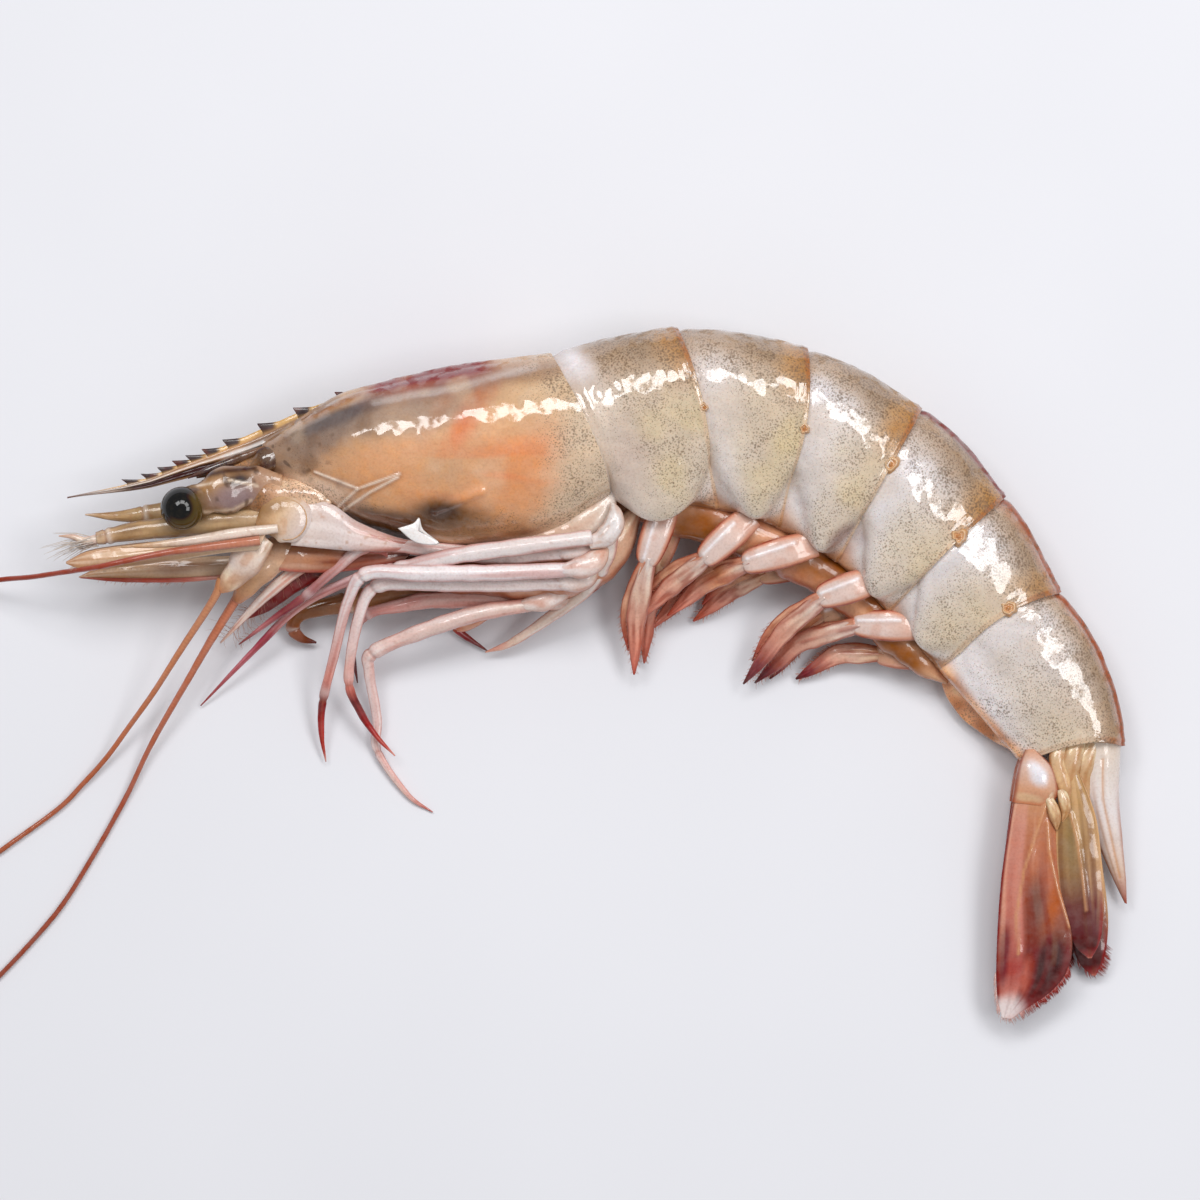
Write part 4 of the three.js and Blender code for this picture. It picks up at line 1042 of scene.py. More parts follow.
def leg_hairs():
    """Loose hairs along the lower parts of the mouth legs and of the first near leg."""
    random = np.random.default_rng(5)
    roots = []
    tips = []
    for route, count, length in ((MOUTH_LEG_L, 120, 2.2), (LEG_ROUTES["l1"][3:], 60, 1.0),
                                 (MOUTH_LEG_R, 70, 1.6)):
        t = random.uniform(0.25, 0.98, count)
        root = through(route, t)
        way = heading(route, t)
        side = unit(np.cross(way, UP))
        lean = way * random.uniform(0.5, 1.0, (count, 1)) + side * random.choice([-1.0, 1.0], (count, 1))
        lean += random.normal(0, 0.2, (count, 3))
        roots.append(root)
        tips.append(root + lean * length * random.uniform(0.5, 1.0, (count, 1)))
    parts = Parts()
    parts.hairs(np.concatenate(roots), np.concatenate(tips), 0.03, 0.1, "b0806c")
    parts.build("leg_hairs", HAIR, [])


def underside():
    """Soft brown and peach tissue between the leg bases, seen below the carapace's lower edge."""
    parts = Parts()
    add_limb(parts, [(79.4, 86.0, 7.4), (76.0, 81.4, 7.2), (70.4, 78.6, 6.6), (62.0, 78.0, 6.2),
                     (54.0, 78.4, 6.2), (48.5, 80.2, 6.6)], [0.9, 3.0, 3.5, 2.6, 2.0, 0.6],
             [2.0, 3.6, 4.0, 3.4, 2.8, 0.6], {0: "deb89c", 0.35: "e0a484", 0.6: "c48466", 1: "8c4a2c"},
             "aa6046", rings=110, around=44, lump=0.14, seed=9, streaks=0.35)
    add_limb(parts, [(60.0, 82.4, 9.4), (66.0, 82.6, 9.9), (70.6, 83.4, 10.4), (74.4, 85.6, 10.8),
                     (76.8, 88.6, 11.0)], [0.4, 1.2, 1.9, 2.0, 0.8], [0.4, 1.0, 1.5, 1.5, 0.7],
             {0: "c49676", 0.5: "dec4b0", 1: "d6c4b8"}, "ce9e84", rings=100, around=40, lump=0.12, seed=13,
             streaks=0.3)
    parts.build("breast_keel_skin", LIMB, ["breast_keel"])


WHIP_SIZE = [0.62, 0.42, 0.34, 0.33, 0.32, 0.3, 0.12]


def whips():
    stops = {
        "antenna_l": {0: "ce9268", 0.12: "ce8c68", 0.4: "b4684a", 1: "964830"},
        "antenna_r": {0: "c47a5c", 0.15: "be765c", 0.45: "a65a46", 1: "883c2e"},
        "feeler": {0: "c48268", 0.25: "a24a3a", 1: "842e24"},
    }
    for name, route in WHIP_ROUTES.items():
        points, t, angle = limb_grid(route, WHIP_SIZE, WHIP_SIZE, 700, 12)
        rings = 0.5 + 0.5 * np.sin(t * 2 * np.pi * 190)
        tint = limb_tint(points, t, angle, stops[name], "964c32", 0.3, 3, 0.15)
        tint = paint(tint, "783826", 0.14 * rings)
        grid_piece(f"{name}_skin", [name], points, tint, WHIP)


# ---------------------------------------------------------------- swimming limbs

BLADE_ACROSS = [0.9, 1.2, 1.3, 1.1, 0.75, 0.12]
INNER_ACROSS = [0.7, 0.95, 0.8, 0.12]
BLADE_THICK = [0.6, 0.5, 0.42, 0.36, 0.3, 0.1]


def blade_hairs(parts, colour, route, width, seed, count, length, start):
    """Hairs along both edges of a blade, leaning towards its tip."""
    random = np.random.default_rng(seed)
    t = random.uniform(start, 0.99, count)
    centre = through(route, t)
    way = heading(route, t)
    side = np.cross(UP, way) * random.choice([-1.0, 1.0], (count, 1))
    roots = centre + side * through(width, t) * 0.95
    lean = 0.7 * way + 0.8 * side * random.uniform(0.4, 1.0, (count, 1)) + random.normal(0, 0.12, (count, 3))
    tips = roots + lean * length * random.uniform(0.5, 1.0, (count, 1))
    parts.hairs(roots, tips, 0.035, 0.08, colour)


def swimmeret(number, name, route):
    """One swimming limb: a broad clear first joint, then an outer and an inner blade with hairs."""
    near = name[0] == "l"
    dark = name in ("l4", "l5", "r4", "r5")
    parts = Parts()
    glass = "dec4ba" if near else "ce9e7e"
    rim = "ce8c74" if near else "be7e5c"
    edge = "a04e3c"
    end = "541c24" if dark else "a64234"
    root, elbow, middle, tip = (np.asarray(point, float) for point in route)
    along = unit(elbow - root)
    across = np.cross(along, UP)
    left = [root + 1.7 * across, 0.5 * (root + elbow) + 2.1 * across, elbow + 1.6 * across,
            elbow + 0.9 * along]
    right = [root - 1.6 * across, 0.5 * (root + elbow) - 1.9 * across, elbow - 1.4 * across,
             elbow + 0.95 * along]
    heights = [root[2] - 1.0, 0.5 * (root[2] + elbow[2]), elbow[2], elbow[2] - 0.3]
    # a raised rib across the first joint, with a near-white painted highlight laid along it
    shine = [(0.7 * root + 0.3 * elbow + 0.9 * across)[:2], (elbow + 0.6 * across)[:2]]

    def tint_of(points, t, place):
        from_edge = np.minimum(np.minimum(place, 1 - place) * 2.0, (1 - t) * 1.6)
        tint = ramp(from_edge, {0: edge, 0.08: edge, 0.13: rim, 0.22: "d8a08a", 0.34: glass, 1: glass})
        tint = paint(tint, "ce9478", 0.5 * smooth(0.4, 0.1, t))
        # painted highlight along the rib
        tint = paint(tint, "f4eef0", 0.9 * line_mark(points, shine, 0.22))
        cloud = noise(points, 1.3, 50 + number)
        return paint(tint, "ce9682", 0.4 * smooth(0.0, 0.6, cloud))

    flat_leaf(parts, [p[:2] for p in left], [p[:2] for p in right], heights, [0.5, 0.75, 0.6, 0.12], tint_of,
              [(shine, 0.2)], 90, 56, ripple=0.2, seed=number)
    outer = [elbow - 0.5 * along, 0.5 * (elbow + middle), middle, 0.5 * (middle + tip), tip]
    warm = "dc9268" if name == "l3" else "d8ac98"
    late = "843e40" if dark else "ce7c68"
    blade_stops = {0: glass, 0.3: warm, 0.58: "d2927e", 0.8: late, 1: end}
    add_limb(parts, outer, BLADE_ACROSS, BLADE_THICK, blade_stops, edge, rings=110, around=36, rib=0.5,
             lump=0.1, seed=60 + number, streaks=0.5, edge_amount=0.75)
    way = tip - elbow
    side = unit(np.cross(way, UP))
    low = np.array([0.0, 0.0, -0.9 if near else -0.2])
    inner = [elbow + 0.3 * side, elbow + 0.3 * way + 1.5 * side + low, elbow + 0.55 * way + 1.7 * side + low,
             elbow + 0.8 * way + 1.1 * side + low]
    add_limb(parts, inner, INNER_ACROSS, [0.45, 0.4, 0.32, 0.1],
             {0: rim, 0.5: "d4987a", 0.85: "aa5040", 1: end}, edge, rings=80, around=28, rib=0.4, lump=0.1,
             seed=70 + number, streaks=0.45, edge_amount=0.75)
    for hair_route, width, seed in ((outer, BLADE_ACROSS, 80), (inner, INNER_ACROSS, 90)):
        blade_hairs(parts, "c47a64", hair_route, width, seed + number, 60, 0.8, 0.5)
    parts.build(f"swimmeret_skin_{name}", LIMB, [f"swimmeret_{name}"])


def swimmerets():
    for number, (name, route) in enumerate(SWIMMERET_ROUTES.items()):
        swimmeret(number, name, route)


# ---------------------------------------------------------------- head

MOUTH_LEG_L = [(48.5, 80.9, 8.6), (44.0, 81.2, 8.5), (38.8, 79.9, 7.9), (33.1, 75.6, 6.0), (27.1, 69.6, 3.0)]
MOUTH_LEG_R = [(43.1, 79.3, 7.0), (39.0, 78.3, 6.8), (35.6, 76.6, 6.2), (32.8, 74.5, 5.2), (30.0, 72.5, 4.2)]
NEAR_SCALE_TOP = [(34.0, 84.2), (28.0, 83.4), (22.9, 82.6), (16.5, 82.0), (11.4, 81.2), (8.5, 79.8)]
NEAR_SCALE_LOW = [(32.5, 81.2), (28.0, 80.8), (22.0, 79.9), (15.0, 79.0), (10.5, 78.9), (8.5, 79.5)]
FAR_SCALE_TOP = [(30.0, 80.6), (24.0, 80.4), (17.0, 79.9), (12.0, 79.0), (9.6, 77.95)]
FAR_SCALE_LOW = [(29.0, 78.0), (24.0, 77.6), (17.0, 77.5), (12.0, 77.6), (9.6, 77.8)]


def head_block():
    """The head below the beak: the soft parts between the eye stalks and the mouth, and the eye sockets."""
    parts = Parts()
    add_limb(parts, [(41.5, 87.4, 8.8), (37.5, 88.0, 8.9), (33.8, 88.0, 8.8), (30.0, 87.4, 8.4),
                     (26.6, 86.2, 7.8)], [1.8, 2.6, 3.0, 2.6, 0.8], [2.6, 3.0, 3.2, 2.6, 0.9],
             {0: "f0ccae", 0.3: "e8c0a0", 0.5: "b28462", 0.7: "8c684a", 1: "785a3e"}, "966442", rings=110,
             around=48, lump=0.14, seed=10)
    add_limb(parts, [(37.5, 94.2, 9.4), (34.4, 93.0, 9.8), (32.2, 91.9, 9.9), (29.0, 91.4, 9.7),
                     (24.6, 90.3, 9.4)], [1.4, 1.7, 1.3, 0.7, 0.12], [1.6, 1.8, 1.3, 0.6, 0.12],
             {0: "8c7060", 0.4: "543a2a", 0.7: "a6764c", 1: "543220"}, "462c1c", rings=90, around=32,
             lump=0.2, seed=11, streaks=0.6)
    add_limb(parts, [(33.2, 94.0, 10.2), (29.6, 92.5, 10.4), (26.6, 91.4, 10.5), (23.6, 90.2, 10.3)],
             [0.3, 0.55, 0.45, 0.1], [0.3, 0.4, 0.35, 0.1], {0: "78543e", 0.5: "3a241a", 1: "503022"},
             "ceb096", rings=70, around=24, lump=0.2, seed=18, streaks=0.5)
    parts.build("head_skin", SHELL, ["head"], {"pepper": 1.0})


def eye_stalks():
    """Flattened brown stalks, blotched dark on top, that widen from the eye to the head."""
    for side, heights in (("l", (11.0, 11.6, 12.4)), ("r", (5.6, 4.8, 4.3))):
        route = [(35.4, 89.4, heights[0]), (32.0, 89.4, heights[0]), (29.2, 88.9, heights[1]),
                 (26.4, 87.9, heights[1]), (24.4, 87.0, heights[2])]
        points, t, angle = limb_grid(route, [1.2, 2.6, 2.75, 2.4, 2.2], [0.6, 1.2, 1.4, 1.7, 2.0], 110, 56,
                                     (), 0.0, 0.16)
        tint = ramp(t, {0: "ba9070", 0.4: "967868", 0.7: "a6805c", 1: "60482c"})
        tint = layers(tint, points, [
            ("8c7678", 0.85, (29.6, 87.6), 2.8, 1.5, 10, 0.6),
            ("aa8058", 0.8, (28.0, 90.0), 3.6, 0.9, 12, 0.5),
            ("281812", 0.95, (30.2, 89.9), 1.5, 0.8, 15, 0.6),
            ("3c2418", 0.9 * line_mark(points, [(24.4, 90.2), (28.5, 91.0), (32.0, 91.4)], 0.4)),
            # painted highlights: two thin pale lines, one under the dark brow and one along the lower rim
            ("e2ccb6", 0.8 * line_mark(points, [(25.0, 89.2), (29.0, 89.9), (32.4, 89.2)], 0.16)),
            ("dec6ae", 0.7 * line_mark(points, [(26.0, 85.9), (29.4, 86.2), (31.6, 87.4)], 0.2)),
            ("462c1e", 0.7 * smooth(0.35, 0.7, noise(points, 0.9, 15))),
        ])
        grid_piece(f"eyestalk_skin_{side}", [f"eyestalk_{side}"], points, tint, LIMB)


def eyes():
    """Glossy eyes: black towards the sides and the front, olive towards the stalk."""
    for name, centre in EYES.items():
        t, angle = grid_of(64, 96)
        polar = np.pi * (0.004 + 0.992 * t)
        way = np.stack([np.sin(polar) * np.cos(angle), np.sin(polar) * np.sin(angle), np.cos(polar)], -1)
        points = np.asarray(centre) + EYE_RADIUS * way
        olive = smooth(0.35, 0.7, np.sin(polar)) * smooth(-0.6, 0.4, way[..., 0] - 0.8 * way[..., 1])
        tint = paint(plain(points, "0e0606"), "68583c", 0.75 * olive)
        grid_piece(f"{name}_ball", [name], points, tint, EYE)


def short_feelers():
    """The two inner feelers: jointed olive stems, the near one ending in clear bristly threads."""
    olive = {0.0: "bea07e", 0.5: "ac8e68", 0.85: "a68460", 1.0: "c4a68a"}
    parts = Parts()
    add_limb(parts, [(33.5, 85.0, 10.4), (28.0, 84.8, 10.4), (22.6, 84.2, 10.6), (17.0, 83.6, 10.2),
                     (12.2, 82.7, 9.9)], [1.3, 1.5, 1.35, 1.2, 0.8], [1.1, 1.2, 0.9, 0.8, 0.6], olive,
             "78583e", rings=140, around=32, joints=(0.94,), seed=12)
    add_limb(parts, [(12.6, 82.7, 9.9), (10.8, 82.4, 9.8), (9.2, 82.9, 9.6), (7.4, 83.0, 9.4)],
             [0.6, 0.5, 0.35, 0.08], [0.5, 0.4, 0.3, 0.08], {0: "e2d0c0", 1: "cea892"}, PINK, rings=40,
             around=16)
    random = np.random.default_rng(7)
    threads = 34
    roots = np.array([12.2, 82.2, 9.9]) + random.normal(0, 0.35, (threads, 3))
    forward = random.uniform(-7.0, -2.5, threads)
    aside = random.normal(-0.9, 1.0, threads)
    down = random.normal(-0.8, 0.8, threads)
    parts.hairs(roots, roots + np.column_stack([forward, aside, down]), 0.09, 0.06, "cebeb2")
    parts.build("antennule_skin_l", LIMB, ["antennule_l"])
    limb("antennule_skin_r", "antennule_r", [(28.0, 86.2, 8.2), (20.9, 86.0, 8.2), (15.0, 85.5, 7.8),
                                             (10.5, 85.7, 7.5)], [1.5, 1.35, 0.7, 0.1],
         [0.8, 0.75, 0.5, 0.1], olive, "765236", joints=(0.5,), seed=14)


def scales():
    """The two flat feeler scales, with a white ridge on the near one and a red hem on the far one."""
    near = Parts()
    flat_leaf(near, NEAR_SCALE_TOP, NEAR_SCALE_LOW, [12.6, 12.6, 12.4, 12.0, 11.6, 11.3],
              [0.6, 0.5, 0.45, 0.4, 0.3, 0.1], scale_tint,
              [([(32.0, 82.4), (22.0, 81.2), (12.0, 80.0)], 0.12)], seed=16)
    add_limb(near, [(35.0, 83.9, 13.1), (30.0, 83.3, 13.3), (25.0, 82.5, 13.0), (20.0, 81.9, 12.6),
                    (15.5, 81.6, 12.2)], [0.6, 0.68, 0.6, 0.4, 0.08], [0.5, 0.55, 0.45, 0.3, 0.08],
             {0: "e2cebe", 0.5: "e8d6c8", 0.8: "ceaa88", 1: "ba926c"}, "ba9472", rings=120, around=20,
             seed=17, streaks=0.15)
    blade_hairs(near, "ceaa8e", [(30.0, 81.6, 12.4), (22.0, 80.8, 12.2), (15.0, 80.2, 11.8),
                                 (9.0, 79.4, 11.3)], [1.2, 1.4, 1.3, 0.3], 18, 110, 1.0, 0.3)
    near.build("scale_skin_l", LIMB, ["scale_l"])
    far = Parts()
    flat_leaf(far, FAR_SCALE_TOP, FAR_SCALE_LOW, [6.6, 6.4, 6.2, 6.3, 6.4], [0.45, 0.42, 0.4, 0.3, 0.1],
              scale_tint, [([(28.0, 79.4), (18.0, 78.8), (11.0, 78.2)], 0.12)], seed=19)
    add_limb(far, [(28.0, 77.9, 6.9), (22.0, 77.5, 6.8), (15.0, 77.5, 6.7), (9.8, 77.8, 6.5)],
             [0.26, 0.3, 0.26, 0.08], [0.26, 0.3, 0.26, 0.08], {0: PINK, 0.4: "b05446", 1: "a85a4c"},
             TIP_RED, rings=90, around=16, seed=20)
    blade_hairs(far, "ce9682", [(28.0, 78.6, 6.6), (20.0, 78.2, 6.4), (12.0, 78.2, 6.4)], [0.9, 1.0, 0.6],
                21, 80, 1.0, 0.3)
    far.build("scale_skin_r", LIMB, ["scale_r"])


def feeler_bases():
    """The clear jointed bases that the two long feelers grow from, and the white cheek behind them."""
    parts = Parts()
    flat_leaf(parts, [(37.0, 88.0), (41.5, 87.0), (44.8, 84.8), (49.5, 82.9), (54.0, 82.0)],
              [(36.5, 81.8), (41.5, 81.3), (46.0, 81.0), (50.0, 81.1), (54.0, 81.6)],
              [11.2, 11.4, 11.1, 10.6, 10.2], [0.6, 0.9, 0.8, 0.6, 0.2], cheek_tint, rings=110, around=56,
              ripple=0.14, seed=28)
    points, t, angle = limb_grid([(39.6, 84.4, 11.2), (37.8, 84.8, 11.7), (36.0, 85.0, 11.9),
                                  (34.2, 84.9, 11.8), (32.4, 84.2, 11.2)], [0.8, 2.6, 2.95, 2.5, 0.7],
                                 [0.5, 0.8, 0.9, 0.8, 0.5], 110, 48, lump=0.06)
    tint = ramp(points[..., 0] - 0.5 * (points[..., 1] - 85.0),
                {32.5: "b08860", 34.5: "d6b088", 37.0: "d6beae", 39.0: "d6c4be"})
    tint = paint(tint, "96704a", 0.7 * patch(points, (34.6, 86.6), 1.8, 0.7, 20, 0.6))
    tint = paint(tint, "cea07c", 0.5 * smooth(0.1, 0.6, noise(points, 1.0, 22)))
    parts.grid(points, tint)
    t, turn = grid_of(72, 14)
    reach = 2.5 + 0.12 * np.cos(turn)
    arc = 4.2 + 0.62 * (2 * np.pi * t)
    ring = np.stack([36.0 + reach * np.cos(arc), 85.0 + reach * np.sin(arc), 12.2 + 0.16 * np.sin(turn)], -1)
    parts.grid(ring, plain(ring, "c89c78"))
    add_limb(parts, [(33.4, 82.8, 11.2), (31.6, 80.8, 11.2), (30.1, 78.8, 10.6), (28.6, 77.2, 9.9),
                     (27.5, 76.2, 9.4)], [1.3, 2.0, 1.8, 1.25, 0.5], [0.8, 1.2, 1.2, 0.9, 0.4],
             {0: "dec4ac", 0.4: "e2cec2", 0.75: "dab08e", 1: "ce8254"}, "be8c6c", rings=90, around=36,
             lump=0.1, seed=23, streaks=0.45)
    parts.build("antenna_base_skin_l", LIMB, ["antenna_base_l"])
    warm = {0.0: BROWN, 0.4: "d0a88a", 0.75: "cc9c76", 1.0: "ba764e"}
    limb("antenna_base_skin_r", "antenna_base_r",
         [(38.5, 82.2, 6.6), (34.8, 80.9, 7.4), (32.4, 78.9, 7.8), (30.8, 76.8, 7.6), (29.4, 74.9, 6.9)],
         [1.5, 2.2, 2.0, 1.5, 0.6], [1.4, 1.8, 1.7, 1.3, 0.6], warm, "deb496", rings=90, around=36,
         lump=0.12, seed=24, streaks=0.4)


def mouth_parts():
    """The two mouth legs, and the reddish flap between them and the carapace."""
    limb("maxilliped_skin_l", "maxilliped_l", MOUTH_LEG_L, [0.9, 1.0, 0.95, 0.7, 0.12],
         [0.5, 0.55, 0.5, 0.4, 0.12], {0: "ce7870", 0.28: "ce7468", 0.42: "de9c82", 0.6: "ecd8cc",
                                       1: "e4cabc"}, "ce6e56", joints=(0.36,), seed=25, streaks=0.5)
    limb("maxilliped_skin_r", "maxilliped_r", MOUTH_LEG_R, [0.6, 1.1, 1.3, 1.1, 0.15],
         [0.45, 0.5, 0.45, 0.4, 0.12], {0: "8c4632", 0.3: "742c1a", 0.75: "682216", 1: "823226"}, "964630",
         seed=26, streaks=0.12)
    parts = Parts()
    flat_leaf(parts, [(33.6, 81.8), (37.0, 82.0), (42.0, 82.0), (47.0, 81.8), (52.0, 81.4)],
              [(31.6, 79.4), (35.5, 78.6), (40.0, 78.4), (45.0, 78.8), (50.5, 80.0)],
              [8.2, 8.6, 8.6, 8.4, 8.2], [0.3, 0.8, 0.9, 0.8, 0.2], mouth_tint, rings=110, around=56,
              ripple=0.4, seed=27)
    parts.build("mouth_skin", LIMB, [])


# ---------------------------------------------------------------- tail fan

EXOPOD_LEFT = [(127.2, 51.0), (126.4, 47.0), (125.4, 40.0), (124.9, 32.0), (124.9, 26.0), (125.6, 22.4)]
EXOPOD_RIGHT = [(131.9, 50.4), (132.2, 46.5), (132.7, 39.5), (134.4, 32.0), (132.8, 26.8), (126.8, 22.2)]
ENDOPOD_LEFT = [(133.5, 54.4), (132.4, 48.5), (132.3, 42.0), (133.0, 36.5), (134.6, 31.8), (136.4, 29.9)]
ENDOPOD_RIGHT = [(134.9, 54.0), (137.2, 48.1), (138.0, 42.5), (138.4, 37.0), (138.0, 32.4), (136.9, 29.9)]
TELSON_LEFT = [(135.5, 57.4), (135.5, 51.8), (137.3, 45.6), (139.3, 40.8), (141.3, 36.7)]
TELSON_RIGHT = [(140.6, 57.0), (140.4, 50.5), (140.9, 44.9), (141.4, 40.0), (141.6, 36.6)]


def blade(name, left, right, heights, thick, tint_of, ribs, fringe=0):
    """A flat fan blade between two edges drawn on the sheet, with raised ribs and a fringe of hairs."""
    parts = Parts()

    def lined(points, t, place):
        tint = tint_of(points, t, place)
        for line, _ in ribs:
            tint = paint(tint, "ce966c", 0.75 * line_mark(points, line, 0.17) * smooth(0.98, 0.75, t))
        return tint

    flat_leaf(parts, left, right, heights, thick, lined, ribs, 170, 72, 0.07, len(name))
    if fringe:
        random = np.random.default_rng(len(name) + fringe)
        share = random.uniform(0.72, 1.0, fringe)
        mixed = random.random(fringe)[:, None]
        mixed = np.where(share[:, None] > 0.97, mixed, np.where(mixed < 0.15, 0.0, 1.0))
        edge = through(left, share) * (1 - mixed) + through(right, share) * mixed
        rear = unit(through(left, np.ones(1)) - through(left, np.full(1, 0.7)))
        out = unit(edge - 0.5 * (through(left, share) + through(right, share)), 0.6)
        low = through(heights, share)
        roots = np.column_stack([edge - 0.3 * rear, low])
        tips = np.column_stack([edge + (rear + 0.5 * out) * random.uniform(0.3, 0.9, (fringe, 1)),
                                low - 0.1])
        hairs, faces = strands(roots, tips, 0.07, 0.04)
        pale = 0.85 * smooth(130.5, 126.0, hairs[:, 0])
        shade = paint(plain(hairs, "963832"), "e2beb6", pale)
        parts.loose(hairs, shade, faces)
    parts.build(f"{name}_skin", FAN, [name])


def exopod_tint(points, t, place):
    """Pink outer strip, tan inner field that darkens through mauve to maroon, and a white corner."""
    outer = smooth(0.4, 0.33, place)
    streak = grain(place * 14, t * 2.2, 44)
    tint = ramp(t, {0: "c2906c", 0.2: "be7e5e", 0.4: "b86c50", 0.56: "8c5446", 0.7: "682828", 0.85: "600e14",
                    0.95: "8c2422", 1: "ce8276"})
    return layers(tint, points, [
        (ramp(t, {0: "d69c7e", 0.2: "ce8e7c", 0.5: "ca7c6c", 0.7: "aa4c46", 0.86: "ce8070", 1: "e6c8c0"}),
         0.9 * outer),
        ("b45c2a", 0.7, (132.2, 37.5), 3.4, 1.0, 75, 0.6),
        ("56162a", 0.75, (125.8, 30.4), 4.0, 0.6, 86, 0.6),
        ("781e1a", 0.9 * smooth(0.07, 0.02, place) * smooth(0.02, 0.12, t) * smooth(1.0, 0.85, t)),
        ("70544e", 0.75, (129.8, 37.0), 2.8, 1.0, 88, 0.7),
        ("3c080e", 0.85, (131.4, 29.4), 3.0, 1.5, 66, 0.6),
        ("ce6e5c", 0.7, (128.6, 27.6), 2.4, 0.7, 80, 0.6),
        ("e8dad8", 0.9, (126.2, 23.6), 2.0, 1.4, 20, 0.7),
        ("781e18", 0.5 * smooth(0.05, 0.5, streak) * smooth(0.1, 0.55, t) * (1 - 0.6 * outer)),
        ("ecba9e", 0.4 * smooth(0.1, 0.6, -streak) * smooth(0.8, 0.4, t)),
    ])


def endopod_tint(points, t, place):
    streak = grain(place * 12, t * 2.5, 45)
    tint = ramp(t, {0: "c8a070", 0.25: "b48a5c", 0.45: "987054", 0.6: "703e3e", 0.85: "561e28",
                    0.97: "964a46", 1: "c47868"})
    return layers(tint, points, [
        ("887450", 0.7 * bump_at(place, 0.35, 0.25) * bump_at(t, 0.32, 0.2)),
        ("683c28", 0.4 * smooth(0.05, 0.5, streak)),
        ("e0b488", 0.45 * smooth(0.1, 0.6, -streak) * smooth(0.8, 0.4, t)),
        ("963230", 0.7 * smooth(0.84, 0.95, place) * smooth(0.45, 0.7, t)),
        ("deae7e", 0.8 * smooth(0.06, 0.02, np.minimum(place, 1 - place)) * smooth(0.75, 0.45, t)),
    ])


def base_tint(points, t, place):
    tint = ramp(t, {0: "ce9678", 0.3: "debeb0", 0.7: "d6a080", 1: "c47c58"})
    return layers(tint, points, [
        # painted highlight: a bluish-white spot on the base
        ("e4e4ec", 0.9, (129.9, 53.2), 1.5, 0.9, -60, 0.6),
        ("debe96", 0.6, (128.8, 50.2), 1.6, 0.5, -10, 0.5),
        ("964632", 0.8 * smooth(0.12, 0.03, np.minimum(place, 1 - place))),
    ])


def telson_tint(points, t, place):
    tint = ramp(t, {0: "deccbc", 0.35: "eae0de", 0.7: "dec2b0", 1: "9e4636"})
    edge = smooth(0.16, 0.02, np.minimum(place, 1 - place))
    tint = paint(tint, "b06e54", 0.8 * edge * smooth(0.1, 0.45, t))
    return paint(tint, "b48464", 0.6 * bump_at(place, 0.3, 0.05) * smooth(0.1, 0.4, t))


def shifted(line, across, up):
    """A far blade's edge: the near one's, moved by across and up where it is clear of the root."""
    move = np.array([across, up])
    return [np.asarray(point) + move * min(1.0, place / 3) for place, point in enumerate(line)]


def tail_fan():
    thick = [0.6, 0.55, 0.42, 0.34, 0.28, 0.12]
    ribs = [([(131.0, 49.5), (130.0, 46.6), (128.2, 41.0), (127.3, 35.4), (127.6, 30.5)], 0.2),
            ([(131.2, 47.0), (131.4, 43.5), (132.6, 38.5), (134.0, 33.9)], 0.16)]
    middle = [([(134.0, 48.2), (134.9, 44.6), (135.6, 40.0), (136.1, 36.0)], 0.22)]
    blade("exopod_l", EXOPOD_LEFT, EXOPOD_RIGHT, [6.3, 6.1, 5.8, 5.3, 4.9, 4.5], thick, exopod_tint, ribs,
          420)
    blade("endopod_l", ENDOPOD_LEFT, ENDOPOD_RIGHT, [6.2, 6.1, 5.8, 5.4, 4.9, 4.6], thick, endopod_tint,
          middle, 0)
    blade("endopod_r", shifted(ENDOPOD_LEFT, 0.8, -2.4), shifted(ENDOPOD_RIGHT, 0.8, -2.4),
          [2.6, 2.6, 2.5, 2.3, 2.0, 1.8], thick, endopod_tint, middle, 90)
    blade("exopod_r", shifted(EXOPOD_LEFT, 0.9, 1.2), shifted(EXOPOD_RIGHT, 0.9, 1.2),
          [1.9, 1.7, 1.4, 1.1, 0.8, 0.6], thick, exopod_tint, ribs, 300)
    blade("telson", TELSON_LEFT, TELSON_RIGHT, [4.3, 4.1, 3.4, 2.7, 2.0], [2.3, 1.9, 1.2, 0.7, 0.12],
          telson_tint, [([(138.1, 55.0), (138.2, 50.0), (139.4, 45.0), (140.6, 40.0)], -0.12)], 0)
    left = [(128.4, 56.2), (127.5, 54.2), (127.0, 51.8), (126.7, 49.6)]
    right = [(129.6, 56.3), (131.8, 54.0), (132.6, 51.0), (131.6, 49.0)]
    for side, height in (("l", 6.3), ("r", 2.4)):
        parts = Parts()
        flat_leaf(parts, left, right, [height - 0.4, height, height, height], [0.7, 1.3, 1.2, 0.6],
                  base_tint, rings=90, around=56, ripple=0.12, seed=33)
        spine = np.array([131.4, 50.8, height + 0.4])
        add_limb(parts, [spine + [0.0, 1.6, 0.0], spine, spine + [0.3, -2.4, 0.0]], [0.8, 0.7, 0.08],
                 [0.5, 0.5, 0.08], {0: "dec4ac", 1: "c88c64"}, "aa6e48", rings=40, around=20)
        parts.build(f"uropod_base_skin_{side}", LIMB, [f"uropod_base_{side}"])


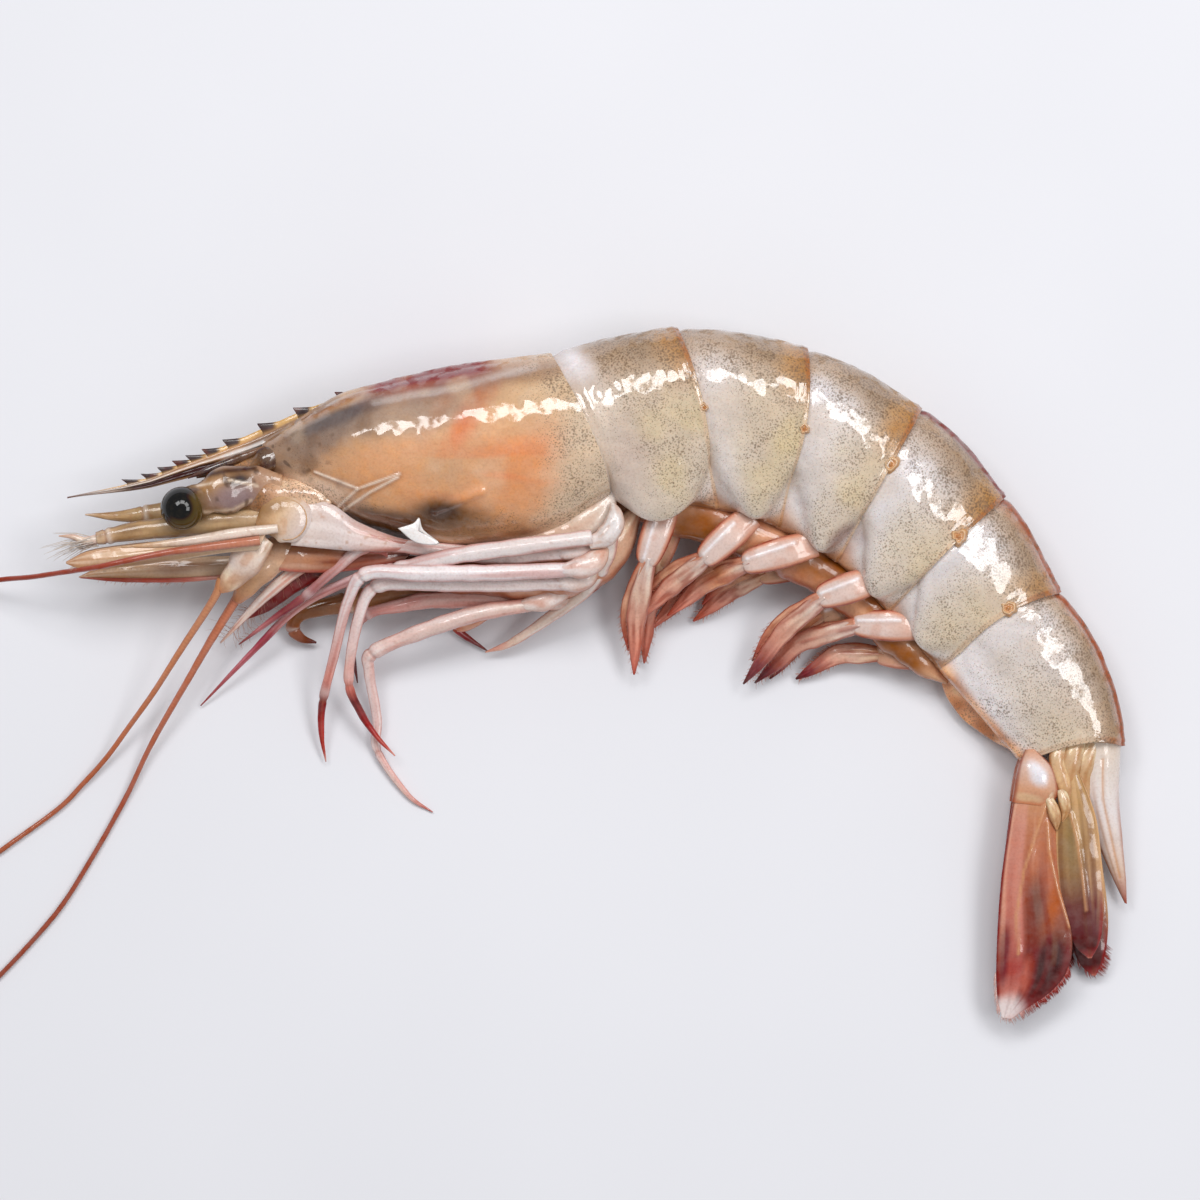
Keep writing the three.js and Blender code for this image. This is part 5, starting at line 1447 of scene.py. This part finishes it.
# The knobs where the fan joins the last plate: the size and the route of each.
JOINT_KNOBS = [
    (1.3, [(137.2, 57.2, 5.6), (136.0, 54.6, 5.6), (135.8, 51.0, 5.0), (136.8, 46.6, 4.2)]),
    (1.15, [(133.2, 57.6, 5.8), (132.4, 55.0, 6.2), (133.2, 52.0, 6.4), (134.4, 48.8, 6.0)]),
    (1.3, [(135.4, 57.8, 5.4), (134.4, 55.4, 6.0), (134.2, 52.4, 6.0), (135.4, 49.2, 5.6)]),
    (0.75, [(131.2, 50.4, 6.6), (131.8, 48.9, 6.9), (132.2, 47.4, 6.8), (132.3, 46.2, 6.5)]),
    (0.7, [(132.9, 51.2, 6.5), (133.3, 49.6, 6.8), (133.4, 48.4, 6.6), (133.0, 47.2, 6.3)]),
    (1.4, [(139.5, 58.8, 4.4), (138.0, 57.2, 4.8), (135.8, 56.8, 5.2), (132.6, 57.4, 5.2)]),
]


def telson_joint():
    """The glassy knobs where the tail fan joins the last plate."""
    parts = Parts()
    for size, route in JOINT_KNOBS:
        add_limb(parts, route, [0.8 * size, size, 0.85 * size, 0.15],
                 [0.6 * size, 0.8 * size, 0.6 * size, 0.15], {0: "d8bea0", 0.5: "cea67e", 1: "c49062"},
                 "b07846", rings=60, around=30, lump=0.14, seed=int(10 * size), streaks=0.45)
    parts.build("fan_joint", LIMB, [])


# ---------------------------------------------------------------- setting


def add_floor():
    corners = np.array([(-1, -1), (1, -1), (1, 1), (-1, 1)]) * FLOOR_REACH
    points = np.column_stack([corners, np.full(4, FLOOR_LEVEL)]) + [*SHEET_CENTRE[:2], 0.0]
    floor = make_mesh("floor", points, [(0, 1, 2, 3)], np.ones((4, 3)), floor_material(), smooth_faces=False)


def place_object(name, data):
    """A new object in the scene."""
    thing = bpy.data.objects.new(name, data)
    bpy.context.scene.collection.objects.link(thing)
    return thing


def window(name, azimuth, power):
    """A soft rectangular light over the shrimp, leaning away from straight above towards the azimuth.
    Its first side points outwards and its second one goes round."""
    data = bpy.data.lights.new(name, "AREA")
    data.shape = "RECTANGLE"
    data.size, data.size_y = WINDOW_SIZE
    data.energy = power
    light = place_object(name, data)
    turn = math.radians(azimuth)
    tilt = math.radians(WINDOW_LEAN)
    reach = WINDOW_DISTANCE * math.sin(tilt)
    light.location = (reach * math.cos(turn), reach * math.sin(turn), WINDOW_DISTANCE * math.cos(tilt))
    light.rotation_euler = (0.0, tilt, turn)


def add_lights():
    world = bpy.data.worlds.new("soft_room")
    world.use_nodes = True
    background = world.node_tree.nodes["Background"]
    background.inputs["Color"].default_value = ROOM_COLOUR
    background.inputs["Strength"].default_value = ROOM_LIGHT
    bpy.context.scene.world = world
    for number, (azimuth, power) in enumerate(WINDOWS):
        window(f"window_{number + 1}", azimuth, power)


def add_camera():
    """Straight down on the middle of the sheet, which fills the square frame at the body's mid height."""
    camera_data = bpy.data.cameras.new("camera")
    camera_data.lens = LENS
    camera_data.sensor_width = SENSOR
    camera = place_object("camera", camera_data)
    distance = SHEET * METRES * LENS / SENSOR
    centre = (np.array([SHEET / 2, SHEET / 2]) - SHEET_CENTRE[:2]) * METRES
    camera.location = (centre[0], centre[1], BODY_LEVEL * METRES + distance)
    camera.rotation_euler = (0.0, 0.0, 0.0)
    bpy.context.scene.camera = camera


# ---------------------------------------------------------------- assembly

add_camera()
add_lights()
add_floor()
carapace()
torn_bit()
rostrum()
for plate in range(len(PLATES)):
    tail_plate(plate)
knobs()
belly_tissue()
head_block()
eye_stalks()
eyes()
short_feelers()
scales()
feeler_bases()
mouth_parts()
underside()
legs()
leg_hairs()
whips()
swimmerets()
tail_fan()
telson_joint()
bpy.context.scene.view_settings.view_transform = "Standard"
